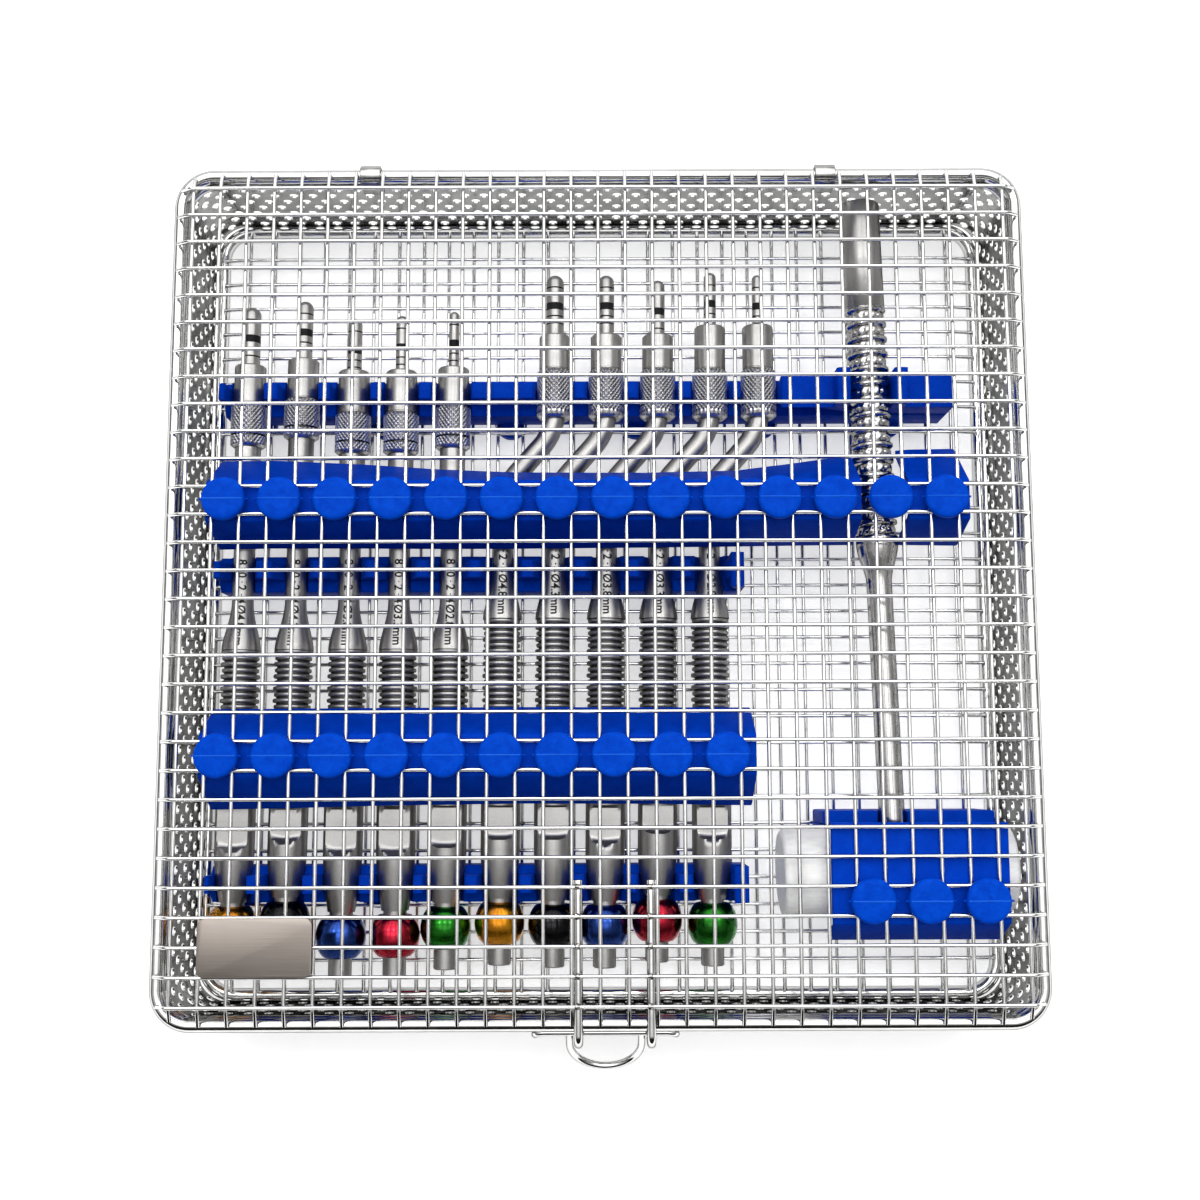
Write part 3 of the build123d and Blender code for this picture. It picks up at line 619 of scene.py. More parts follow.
@dataclass
class Frame:
    """Rods, mesh layers, walls and hinge straps."""

    mesh: Mesh = field(default_factory=Mesh)
    rod_d: float = 3.5
    corner_r: float = 8.5
    edge_x: float = 4.0
    edge_y: float = 4.8
    inset_x: float = 3.0
    inset_y: float = 2.5
    foot_drop: float = 4.0
    base_h: float = 28.3
    lid_gap: float = 0.3
    eye_wire_d: float = 2.2
    wall_t: float = 0.9
    sheet_t: float = 0.45
    sheet_out: float = 1.9
    hole_d: float = 2.5
    hole_pitch: float = 5.0
    hole_rows: int = 7
    strap_w: float = 5.3
    strap_t: float = 1.0
    strap_cell: float = 8.5
    strap_clear: float = 0.06
    half_x: float = field(init=False)
    half_y: float = field(init=False)
    floor_rod_z: float = field(init=False)
    rim_z: float = field(init=False)
    lid_z: float = field(init=False)

    def __post_init__(self) -> None:
        """Work out the rods' places."""
        self.half_x = self.mesh.half(self.mesh.lid_long, self.mesh.cell_x) + self.edge_x
        self.half_y = self.mesh.half(self.mesh.lid_cross, self.mesh.cell_y) + self.edge_y
        self.floor_rod_z = self.foot_drop - self.rod_d / 2
        self.rim_z = self.floor_rod_z + self.base_h
        self.lid_z = self.rim_z + self.rod_d + self.lid_gap

    @property
    def low(self) -> Vec2:
        """Half the size of the floor rod, in X and Y."""
        return self.half_x - self.inset_x, self.half_y - self.inset_y

    @property
    def flat(self) -> Vec2:
        """Half the straight run of the walls, in X and Y."""
        return self.low[0] - self.corner_r, self.low[1] - self.corner_r

    @property
    def cross_off(self) -> float:
        """Lid cross wires above the lid rod's centreline."""
        return self.rod_d / 2 + self.eye_wire_d + self.mesh.wire_d / 2

    @property
    def lid_under(self) -> float:
        """Underside of the lid mesh."""
        return self.lid_z + self.cross_off - 1.5 * self.mesh.wire_d

    @property
    def lid_over(self) -> float:
        """Top of the lid mesh."""
        return self.lid_z + self.cross_off + self.mesh.wire_d / 2

    @property
    def floor_top(self) -> float:
        """Top of the floor mesh."""
        return self.foot_drop + 2 * self.mesh.wire_d

    def loop(self, half_x: float, half_y: float, z: float, facets: int = 14) -> list[Vec3]:
        """A rod's centreline, once round the cassette."""
        path: list[Vec3] = []
        for start, sx, sy in ((-90, 1, -1), (0, 1, 1), (90, -1, 1), (180, -1, -1)):
            centre = (sx * (half_x - self.corner_r), sy * (half_y - self.corner_r))
            path += [(x, y, z) for x, y in arc(centre, self.corner_r, start, start + 90, facets)]
        return path

    def rods(self, bench: Bench) -> None:
        """Bend the three frame rods and weld them shut."""
        for name, body, half_x, half_y, z in (
                ("lid_frame_rod", Body.LID, self.half_x, self.half_y, self.lid_z),
                ("base_rim_rod", Body.BASE, self.half_x, self.half_y, self.rim_z),
                ("base_floor_rod", Body.BASE, *self.low, self.floor_rod_z)):
            stock = Stock()
            stock.tube(self.loop(half_x, half_y, z), self.rod_d / 2, ROD_SIDES, closed=True)
            bench.set_down(stock, "rod_" + name, body, [ROD], name)

    def wire(self, stock: Stock, half: float, edge: float, off: float, tip: float,
             along: Along) -> Verts:
        """Draw one mesh wire with both ends bent down on the rod.

        Args:
            stock: Where it is drawn.
            half: Half the run between the outermost crossings.
            edge: The outermost crossing to the rod's centreline.
            off: The wire above the rod's centreline.
            tip: How far short of that centreline the wire ends.
            along: The axis that it runs along.

        Returns:
            The wire's points, about the rod's height.
        """
        knee = 0.9
        run = edge - knee
        reach = math.hypot(run, off)
        slope = math.atan2(off, run) - math.asin((self.rod_d + self.mesh.wire_d) / 2 / reach)
        drop = [(half + knee - 0.7, off), (half + knee, off - 0.06)]
        for share in (0.18, 0.55, 1.0):
            run_out = share * (run - tip)
            drop.append((half + knee + run_out, off - run_out * math.tan(slope)))
        line = [(-u, z) for u, z in reversed(drop)] + drop
        points = [(u, 0.0, z) if along is Along.X else (0.0, u, z) for u, z in line]
        return stock.tube(points, self.mesh.wire_d / 2)

    def tuck(self, stock: Stock, along: Along, run: float, across: float, short: float) -> None:
        """Shorten both ends of the two outermost wires, where the rod's corner bends in.

        Args:
            stock: All the wires of one layer.
            along: The axis that they run along.
            run: The outermost crossing on that axis.
            across: The outermost wire on the other axis.
            short: The share of the ends that is taken off.
        """
        axis, other = (0, 1) if along is Along.X else (1, 0)
        for v in stock.bm.verts:
            past = abs(v.co[axis]) - run
            if past > 0 and abs(v.co[other]) > across - self.mesh.wire_d:
                v.co[axis] -= math.copysign(past * short, v.co[axis])

    def layers(self, bench: Bench) -> None:
        """Lay the lid's and the floor's long and cross wires."""
        mesh = self.mesh
        across = mesh.half(mesh.lid_long, mesh.cell_x)
        down = mesh.half(mesh.lid_cross, mesh.cell_y)
        floor = mesh.half(mesh.floor_long, mesh.cell_x)
        low_x, low_y = self.low

        def spread(stock: Stock, wire: Verts, along: Along, count: int, z: float) -> None:
            """Repeat a wire across its layer."""
            pitch = mesh.cell_y if along is Along.X else mesh.cell_x
            places = [(i - (count - 1) / 2) * pitch for i in range(count)]
            stock.repeat(wire, [(0.0, p, z) if along is Along.X else (p, 0.0, z) for p in places])

        stock = Stock()
        wire = self.wire(stock, down, self.edge_y, self.cross_off - mesh.wire_d, 0.0, Along.Y)
        spread(stock, wire, Along.Y, mesh.lid_long, self.lid_z)
        self.tuck(stock, Along.Y, down, across, 0.28)
        bench.set_down(stock, "mesh_lid_long", Body.LID, [WIRE], "lid_long_wires")
        stock = Stock()
        wire = self.wire(stock, across, self.edge_x, self.cross_off, 0.0, Along.X)
        spread(stock, wire, Along.X, mesh.lid_cross, self.lid_z)
        self.tuck(stock, Along.X, across, down, 0.2)
        bench.set_down(stock, "mesh_lid_cross", Body.LID, [WIRE], "lid_cross_wires")
        stock = Stock()
        end = low_y - self.wall_t
        wire = stock.tube([(0, -end, 0), (0, end, 0)], mesh.wire_d / 2, round_tip=0.15)
        spread(stock, wire, Along.Y, mesh.floor_long, self.foot_drop + mesh.wire_d / 2)
        bench.set_down(stock, "mesh_floor_long", Body.BASE, [WIRE], "floor_long_wires")
        stock = Stock()
        off = self.rod_d / 2 + 1.5 * mesh.wire_d
        wire = self.wire(stock, floor, low_x - floor, off, self.wall_t, Along.X)
        spread(stock, wire, Along.X, mesh.floor_cross, self.floor_rod_z)
        bench.set_down(stock, "mesh_floor_cross", Body.BASE, [WIRE],
                       "floor_cross_wires")

    def sheet(self, length: float, low: float, high: float, gaps: list[float]) -> Stock:
        """Punch a flat band of sheet with staggered rows of round holes.

        Args:
            length: The band's run.
            low: Z of its lower edge.
            high: Z of its upper edge.
            gaps: Middles of the hinge slots in its upper edge.

        Returns:
            Stock with the band in U (X) and Z, before it gets its thickness.
        """
        stock = Stock()
        bm = stock.bm
        count = max(2, round(length / self.hole_pitch))
        wide = length / count
        margin = 0.5
        tall = (high - low - 2 * margin) / self.hole_rows
        rim = bmesh.ops.create_circle(bm, radius=self.hole_d / 2, segments=16)["verts"]
        inner = list({e for v in rim for e in v.link_edges})
        corners = ((-1, -1), (0, -1), (1, -1), (1, 0), (1, 1), (0, 1), (-1, 1), (-1, 0))
        outer_verts = [bm.verts.new((x * wide / 2, y * tall / 2, 0)) for x, y in corners]
        outer = [bm.edges.new(pair) for pair in zip(outer_verts,
                                                    outer_verts[1:] + outer_verts[:1])]
        bmesh.ops.bridge_loops(bm, edges=inner + outer)
        cell = list(bm.verts)
        places = []
        for row in range(self.hole_rows):
            shift = 0.0 if row % 2 else 0.5
            y = margin + (row + 0.5) * tall
            for k in range(count + (0 if row % 2 else 1)):
                places.append(((k + 0.5 - shift) * wide, y, 0.0))
        stock.repeat(cell, places)
        for y in (0.0, margin + self.hole_rows * tall):
            for k in range(2 * count):
                left, right = k * wide / 2, (k + 1) * wide / 2
                bm.faces.new([bm.verts.new((x, z, 0)) for x, z in (
                    (left, y), (right, y), (right, y + margin), (left, y + margin))])
        bmesh.ops.remove_doubles(bm, verts=bm.verts, dist=1e-3)
        for at, normal in ((0.0, (-1, 0, 0)), (length, (1, 0, 0))):
            cut(bm, (at, 0, 0), normal, clear=True)
        slot = self.strap_w / 2 + 0.3
        for middle in gaps:
            loose = [f for f in bm.faces if f.calc_center_median().y > high - low - 1.6
                     and abs(f.calc_center_median().x - middle) < slot]
            bmesh.ops.delete(bm, geom=loose, context="FACES")
        bmesh.ops.recalc_face_normals(bm, faces=bm.faces)
        bmesh.ops.solidify(bm, geom=bm.faces[:], thickness=self.sheet_t)
        return stock

    def walls(self, bench: Bench) -> None:
        """Stand the four perforated bands and the four rounded corners, leaning out."""
        low = self.floor_rod_z
        high = self.rim_z - self.rod_d / 2 + 0.2
        flat_x, flat_y = self.flat
        gap = self.strap_cell * self.mesh.cell_x
        runs = {"wall_front": (flat_x, 0, []), "wall_right": (flat_y, 1, []),
                "wall_back": (flat_x, 2, [flat_x - gap, flat_x + gap]),
                "wall_left": (flat_y, 3, [])}
        for name, (half, quarter, gaps) in runs.items():
            stock = self.sheet(2 * half, low, high, gaps)
            side = flat_y if quarter % 2 == 0 else flat_x
            for v in stock.bm.verts:
                spot = Vector((v.co.x - half, -(side + self.corner_r) - self.mid(v), 0))
                self.lean(v, spot, low + v.co.y, quarter)
            bench.set_down(stock, "band_" + name, Body.BASE, [SHEET], name)
        corner = Stock()
        arc_l = math.pi / 2 * self.corner_r
        for quarter in range(4):
            stock = self.sheet(arc_l, low, high, [])
            half = (flat_x, flat_y) if quarter % 2 == 0 else (flat_y, flat_x)
            for v in stock.bm.verts:
                turn = v.co.x / self.corner_r
                reach = self.corner_r + self.mid(v)
                spot = Vector((half[0] + reach * math.sin(turn),
                               -half[1] - reach * math.cos(turn), 0))
                self.lean(v, spot, low + v.co.y, quarter)
            corner.join(stock)
        bench.set_down(corner, "band_wall_corners", Body.BASE, [SHEET], "wall_corners")

    def mid(self, v: bmesh.types.BMVert) -> float:
        """A point's place across the sheet, about its middle."""
        return abs(v.co.z) - self.sheet_t / 2

    def lean(self, v: bmesh.types.BMVert, spot: Vector, z: float, quarter: int) -> None:
        """Turn a point to its side of the cassette and lean it out towards the rim.

        Args:
            v: The point.
            spot: Its place on the front side at the floor rod's size.
            z: Its height.
            quarter: Quarter turns from the front, anticlockwise.
        """
        turned = Matrix.Rotation(quarter * math.pi / 2, 4, "Z") @ spot
        rise = 1 - (self.rim_z - z) / self.base_h
        out = self.sheet_out
        grown = [place + (out + (inset - out) * rise) * max(-1.0, min(1.0, place / flat))
                 for place, inset, flat in zip(turned, (self.inset_x, self.inset_y), self.flat)]
        v.co = Vector((*grown, z))

    def straps(self, bench: Bench) -> None:
        """Wrap the two hinge straps round the rim rod and the lid rod."""
        apart = (self.lid_z - self.rim_z) / 2
        middle = (self.lid_z + self.rim_z) / 2
        inner = self.rod_d / 2 + self.strap_clear

        def oval(radius: float) -> list[Vec2]:
            """A ring round both rods, in Y and Z."""
            over = arc((self.half_y, middle + apart), radius, 0, 180, 16)
            return over + arc((self.half_y, middle - apart), radius, 180, 360, 16)

        for name, side in (("hinge_strap_left", -1), ("hinge_strap_right", 1)):
            stock = Stock()
            bm = stock.bm
            x = side * self.strap_cell * self.mesh.cell_x - self.strap_w / 2
            rings = [[bm.verts.new((x, a, b)) for a, b in oval(radius)]
                     for radius in (inner + self.strap_t, inner)]
            rims = [bm.edges.new(p) for ring in rings for p in zip(ring, ring[1:] + ring[:1])]
            push(bm, bmesh.ops.bridge_loops(bm, edges=rims)["faces"], (self.strap_w, 0, 0))
            stock.soften(list(bm.verts), 0.22)
            bench.set_down(stock, "wrap_" + name, Body.BASE, [STRAP], name)

    def build(self, bench: Bench) -> None:
        """Build the whole wire body."""
        self.rods(bench)
        self.layers(bench)
        self.walls(bench)
        self.straps(bench)


# ---------------------------------------------------------------- the latch
@dataclass
class Latch:
    """The two lid eyes and the bail that they carry."""

    frame: Frame
    bail_d: float = 1.8
    clear: float = 0.3
    bar_half: float = 17.4
    hook_turn: float = 1.6
    leg: float = 4.4
    tilt: float = 43.0
    hook_reach: float = 2.6
    wrap: float = 50.0
    leg_start: int = 5
    leg_spare: float = 1.6
    bead_r: float = 0.8
    bead_lift: float = 0.5
    bead_shift: float = 0.25

    @property
    def eye_r(self) -> float:
        """Radius of an eye's wire."""
        return self.frame.eye_wire_d / 2

    @property
    def bar_z(self) -> float:
        """Height of the bail bar."""
        return (self.frame.lid_z + self.frame.rim_z) / 2

    @property
    def bar_y(self) -> float:
        """The bail bar before the rods."""
        reach = self.frame.rod_d / 2 + self.bail_d / 2 + self.clear
        return -self.frame.half_y - math.sqrt(reach ** 2 - (self.bar_z - self.frame.rim_z) ** 2)

    def eye_x(self) -> tuple[float, float]:
        """The two legs' places, each against its mesh wire."""
        beside = self.frame.mesh.wire_d / 2 + self.eye_r
        return -self.frame.mesh.cell_x + beside, 2 * self.frame.mesh.cell_x - beside

    def eyes(self, bench: Bench) -> None:
        """Bend the two eyes and weld each leg at its crossings."""
        frame = self.frame
        leg_z = frame.lid_under + frame.mesh.wire_d - self.eye_r
        loop_r = self.bail_d / 2 + self.clear + self.eye_r
        start = frame.mesh.cross_y(self.leg_start - 1) + self.leg_spare
        for name, x in zip(("latch_eye_left", "latch_eye_right"), self.eye_x()):
            stock = Stock()
            run = [(start, leg_z), (start - 4, leg_z)]
            run += arc((self.bar_y, leg_z - loop_r), loop_r, 90, 180, 12)
            run += arc((self.bar_y, self.bar_z), loop_r, 180, 180 + self.wrap, 8)
            stock.tube([(x, y, z) for y, z in run], self.eye_r, BAR_SIDES, round_tip=0.25)
            for index in range(self.leg_start):
                spot = Vector((x - self.bead_shift, frame.mesh.cross_y(index),
                               leg_z + self.eye_r + self.bead_lift))
                bead = bmesh.ops.create_icosphere(stock.bm, subdivisions=2,
                                                  radius=self.bead_r)["verts"]
                for v in bead:
                    x_in, y_in, z_in = v.co
                    lump = 1 + 0.22 * math.sin(7 * x_in + 3 * index) * math.cos(5 * y_in + index)
                    v.co = Vector((x_in * 1.5 * lump, y_in * 0.95 * lump, z_in * 0.8 * lump))
                stock.place(bead, Matrix.Translation(spot))
            stock.tint(1, lambda c, top=leg_z + self.eye_r * 1.02: c.z > top)
            bench.set_down(stock, "eye_" + name, Body.LID, [ROD, WELD], name)

    def bail(self, bench: Bench) -> None:
        """Bend the bar with its hooks and weld the finger loop on it."""
        frame = self.frame
        left, right = self.eye_x()
        beside = self.eye_r + self.clear + self.bail_d / 2
        middle = (left + right) / 2 - beside
        half_w = (right - left) / 2
        hook_y = -frame.half_y - frame.rod_d / 2 - self.clear - self.bail_d / 2
        stock = Stock()
        turn = self.hook_turn
        hook = [(self.bar_half - turn * 1.4, self.bar_y, self.bar_z)]
        for share in (0.25, 0.5, 0.75, 1.0):
            bend = math.radians(90 * share)
            hook.append((self.bar_half - turn + turn * math.sin(bend),
                         self.bar_y + (hook_y - self.bar_y) * share,
                         self.bar_z - turn * (1 - math.cos(bend))))
        hook.append((self.bar_half, hook_y, frame.rim_z - self.hook_reach))
        path = [(-x, y, z) for x, y, z in reversed(hook)] + hook
        stock.tube([(middle + x, y, z) for x, y, z in path], self.bail_d / 2, BAR_SIDES,
                   round_tip=0.3)
        tilt = math.radians(self.tilt)
        knee = -self.leg * 0.6
        flat = [(-half_w, 0.0), (-half_w, knee)] + arc((0, -self.leg), half_w, 180, 360, 28)
        flat += [(half_w, knee), (half_w, 0.0)]
        finger = [(middle + x, self.bar_y + r * math.cos(tilt), self.bar_z + r * math.sin(tilt))
                  for x, r in flat]
        stock.tube(finger, self.bail_d / 2, BAR_SIDES)
        bench.set_down(stock, "bail_wire", Body.LATCH, [ROD], "latch_bail")

    def build(self, bench: Bench) -> None:
        """Build the latch."""
        self.eyes(bench)
        self.bail(bench)


# ---------------------------------------------------------------- the plate
@dataclass
class Plate:
    """The blank brushed plate welded on the lid mesh."""

    frame: Frame
    thick: float = 0.8
    corner: float = 2.0
    cells: Vec2 = (4, 2)
    left_wire: int = -14
    front_wire: int = 1

    def build(self, bench: Bench) -> None:
        """Cut the plate and round its corners and edges."""
        mesh = self.frame.mesh
        wide, deep = self.cells[0] * mesh.cell_x, self.cells[1] * mesh.cell_y
        left = self.left_wire * mesh.cell_x
        front = mesh.cross_y(self.front_wire)
        stock = Stock()
        outline: list[Vec2] = []
        for start, sx, sy in ((-90, 1, 0), (0, 1, 1), (90, 0, 1), (180, 0, 0)):
            centre = (left + (wide - self.corner if sx else self.corner),
                      front + (deep - self.corner if sy else self.corner))
            outline += arc(centre, self.corner, start, start + 90, 6)
        verts = stock.prism(outline, Along.Z, self.frame.lid_over, self.thick)
        stock.soften(verts, 0.18)
        bench.set_down(stock, "plate_blank", Body.LID, [PLATE], "name_plate")


# ---------------------------------------------------------------- the lid strips
@dataclass
class Strip:
    """One silicone strip of the lid, with its row of buttons."""

    frame: Frame
    name: str
    x_from: float
    x_to: float
    y: float
    flaps: Vec2
    low: float
    buttons: int
    level_back: bool = False
    shift_cells: int = 0
    sway: tuple[Vec3, ...] = ()
    flap_drop: float = 10.0
    band: float = 10.2
    thick: float = STRIP_T
    button_d: float = 11.1
    button_h: float = 2.2
    seam: float = 0.2
    stem: float = STEM_W
    sunk: float = 0.2

    def section(self) -> list[Vec2]:
        """The strip's section, in Y and Z."""
        half = self.band / 2
        top = self.frame.lid_under
        under = top - self.thick
        front, back = self.flaps
        if self.level_back:
            tip = self.y - half - front
            low = top - self.flap_drop
            return [(tip, low), (self.y - half, top), (self.y + half + back, top),
                    (self.y + half + back, under), (self.y - half, under), (tip + self.thick, low)]
        drop = top - self.low
        outer: list[Vec2] = []
        inner: list[Vec2] = []
        for side, flap in ((-1, front), (1, back)):
            slant = math.atan2(drop, flap)
            outer += [(self.y + side * half, top), (self.y + side * (half + flap), self.low)]
            inner += [(self.y + side * (half - self.thick * math.tan(slant / 2)), under),
                      (self.y + side * (half + flap - self.thick / math.sin(slant)), self.low)]
        return [outer[1], outer[0], outer[2], outer[3], inner[3], inner[2], inner[0], inner[1]]

    def button(self, stock: Stock, x: float, y: float) -> None:
        """Mould one button head on a square stem, with the mould's seam across it."""
        r, h, base = self.button_d / 2, self.button_h, self.frame.lid_over
        stock.disc([(0.0, 0.0), (0.0, r - 0.5), (0.3, r - 0.1), (0.7, r), (h - 0.8, r - 0.05),
                    (h - 0.35, r - 0.25), (h - 0.1, r - 0.7), (h, r - 1.4), (h - 0.06, r * 0.4),
                    (h - 0.08, 0.0)], 36, (x, y, base))
        seam = self.seam
        for rise, past in ((h, -0.5), (0.55 * h, 0.6)):
            stock.prism([(y - seam, base + self.sunk), (y + seam, base + self.sunk),
                         (y + seam, base + rise - 0.03), (y, base + rise + 0.08),
                         (y - seam, base + rise - 0.03)], Along.X, x - r - past, 2 * (r + past))
        under = self.frame.lid_under
        stock.prism(square(x, y, self.stem / 2), Along.Z, under - self.sunk,
                    base - under + 2 * self.sunk)

    def hang(self, stock: Stock) -> None:
        """Let the two flaps hang a little unevenly along the strip."""
        half, top = self.band / 2, self.frame.lid_under
        for at, _, _ in self.sway[1:-1]:
            cut(stock.bm, (at, 0, 0), (1, 0, 0))
        for v in stock.bm.verts:
            side = v.co.y - self.y
            if abs(side) < half + 0.2:
                continue
            share = min(1.0, (top - v.co.z) / max(0.1, top - self.low))
            for (x0, f0, b0), (x1, f1, b1) in zip(self.sway, self.sway[1:]):
                if x0 <= v.co.x <= x1 + 0.01:
                    t = (v.co.x - x0) / (x1 - x0)
                    front, back = f0 + (f1 - f0) * t, b0 + (b1 - b0) * t
                    v.co.y += share * (back if side > 0 else front)
                    break

    def part_at(self, stock: Stock, low: float, high: float) -> Stock:
        """Cut a closed length out of the strip."""
        part = Stock()
        part.bm = stock.bm.copy()
        for at, normal in ((low, (-1, 0, 0)), (high, (1, 0, 0))):
            rim = [g for g in cut(part.bm, (at, 0, 0), normal, clear=True)
                   if isinstance(g, bmesh.types.BMEdge)]
            if rim:
                bmesh.ops.edgeloop_fill(part.bm, edges=rim)
        return part

    def build(self, bench: Bench, space: Vec2 | None = None) -> None:
        """Mould the strip.

        Args:
            bench: Where it is set down.
            space: Left and right edge of the space left for the mallet's grip.
        """
        mesh = self.frame.mesh
        stock = Stock()
        verts = stock.prism(self.section(), Along.X, self.x_from, self.x_to - self.x_from)
        stock.soften(verts, 0.45, 3, over=15.0)
        if self.sway:
            self.hang(stock)
        if space:
            keep = Stock()
            for low, high in ((self.x_from - 1, space[0]), (space[1], self.x_to + 1)):
                keep.join(self.part_at(stock, low, high))
            stock.bm.free()
            stock = keep
        row = mesh.cell(self.y, mesh.cell_y, mesh.lid_cross)
        first = mesh.cell(self.x_from + self.stem, mesh.cell_x, mesh.lid_long)
        first += self.shift_cells * mesh.cell_x
        for i in range(self.buttons):
            self.button(stock, first + 2 * mesh.cell_x * i, row)
        top = self.frame.lid_over + 0.01
        stock.tint(1, lambda c: c.z > top)
        # painted highlight: the top faces of the seam ridge take the lighter blue
        crest = self.frame.lid_over + self.button_h - 0.02
        stock.tint(2, lambda c: c.z > crest and abs(c.y - row) <= self.seam)
        bench.set_down(stock, "moulded_" + self.name, Body.LID,
                       [SILICONE, BUTTON, SEAM_HIGHLIGHT], self.name)


# ---------------------------------------------------------------- the racks
@dataclass
class Rack:
    """One silicone comb on the floor mesh."""

    frame: Frame
    name: str
    y: float
    right: float
    seats: list[Vec2]
    left: float = -100.9
    thick: float = 9.2
    top: float = 24.4
    clear: float = SEAT_CLEAR
    seat_z: float = TOOL_Z
    foot_every: int = 5
    grip: Vec3 | None = None
    finger_w: float = 3.6
    finger_top: float = FINGER_TOP
    mouth: float = 5.35
    edge_w: float = 1.8
    finger_t: float = 4.4
    finger_y: float = 0.4
    shoulder: Vec2 = (15.6, 17.4)

    def outline(self) -> list[Vec2]:
        """The comb seen from the front: flat below, a round-bottomed notch for each instrument."""
        base = self.frame.floor_top
        upper: list[Vec2] = [(self.left, base), (self.left, self.top)]
        for x, radius in self.seats:
            r = radius + self.clear
            mouth = max(r, min(self.mouth, x - self.left - self.edge_w))
            upper += [(x - mouth, self.top)] + arc((x, self.seat_z), r, 180, 360, 12)
            upper += [(x + mouth, self.top)]
        if self.grip:
            x, radius, z = self.grip
            r = radius + self.clear
            reach = r + self.finger_w
            upper += [(x - reach, self.top), (x - reach, self.finger_top),
                      (x - r, self.finger_top)]
            upper += arc((x, z), r, 180, 360, 12)
            upper += [(x + r, self.finger_top), (x + reach, self.finger_top),
                      (x + reach, self.top)]
        return upper + [(self.right, self.top), (self.right, base)]

    def build(self, bench: Bench) -> None:
        """Mould the comb with slim fingers on a thick body, and its feet under the mesh."""
        stock = Stock()
        stock.prism(self.outline(), Along.Y, self.y - self.thick / 2, self.thick)
        bmesh.ops.recalc_face_normals(stock.bm, faces=stock.bm.faces)
        crests = []
        for edge in stock.bm.edges:
            a, b = (v.co for v in edge.verts)
            if (abs(a.x - b.x) < CUT_DIST and abs(a.z - b.z) < CUT_DIST
                    and a.z > self.top - 0.1 and edge.calc_face_angle(0.0) > 0.6):
                crests.append(edge)
        bevel(stock.bm, crests, 0.8, 3)
        for z in self.shoulder:
            cut(stock.bm, (0, 0, z), (0, 0, 1))
        last = self.seats[-1][0] + self.mouth
        for v in stock.bm.verts:
            if v.co.z > self.shoulder[1] - 0.01 and v.co.x < last:
                v.co.y = self.y + self.finger_y + (v.co.y - self.y) * self.finger_t / self.thick
        stock.soften(list(stock.bm.verts), 0.5, over=50.0)
        mesh = self.frame.mesh
        row = mesh.cell(self.y, mesh.cell_y, mesh.floor_cross)
        x = mesh.cell(self.left + FOOT_D, mesh.cell_x, mesh.floor_long)
        while x < self.right - STEM_W:
            foot(stock, self.frame, x, row)
            x += self.foot_every * mesh.cell_x
        bench.set_down(stock, "comb_" + self.name, Body.BASE, [SILICONE], self.name)


def foot(stock: Stock, frame: Frame, x: float, y: float) -> None:
    """Mould one foot under the floor mesh, on a square stem through a cell."""
    drop, radius, sunk = frame.foot_drop, FOOT_D / 2, 0.2
    stock.disc([(0.0, 0.0), (0.0, radius - 0.8), (0.5, radius - 0.1), (drop - 0.3, radius),
                (drop, radius - 0.3), (drop, 0.0)], 24, (x, y, 0))
    stock.prism(square(x, y, STEM_W / 2), Along.Z, drop - sunk,
                frame.floor_top - drop + 2 * sunk)


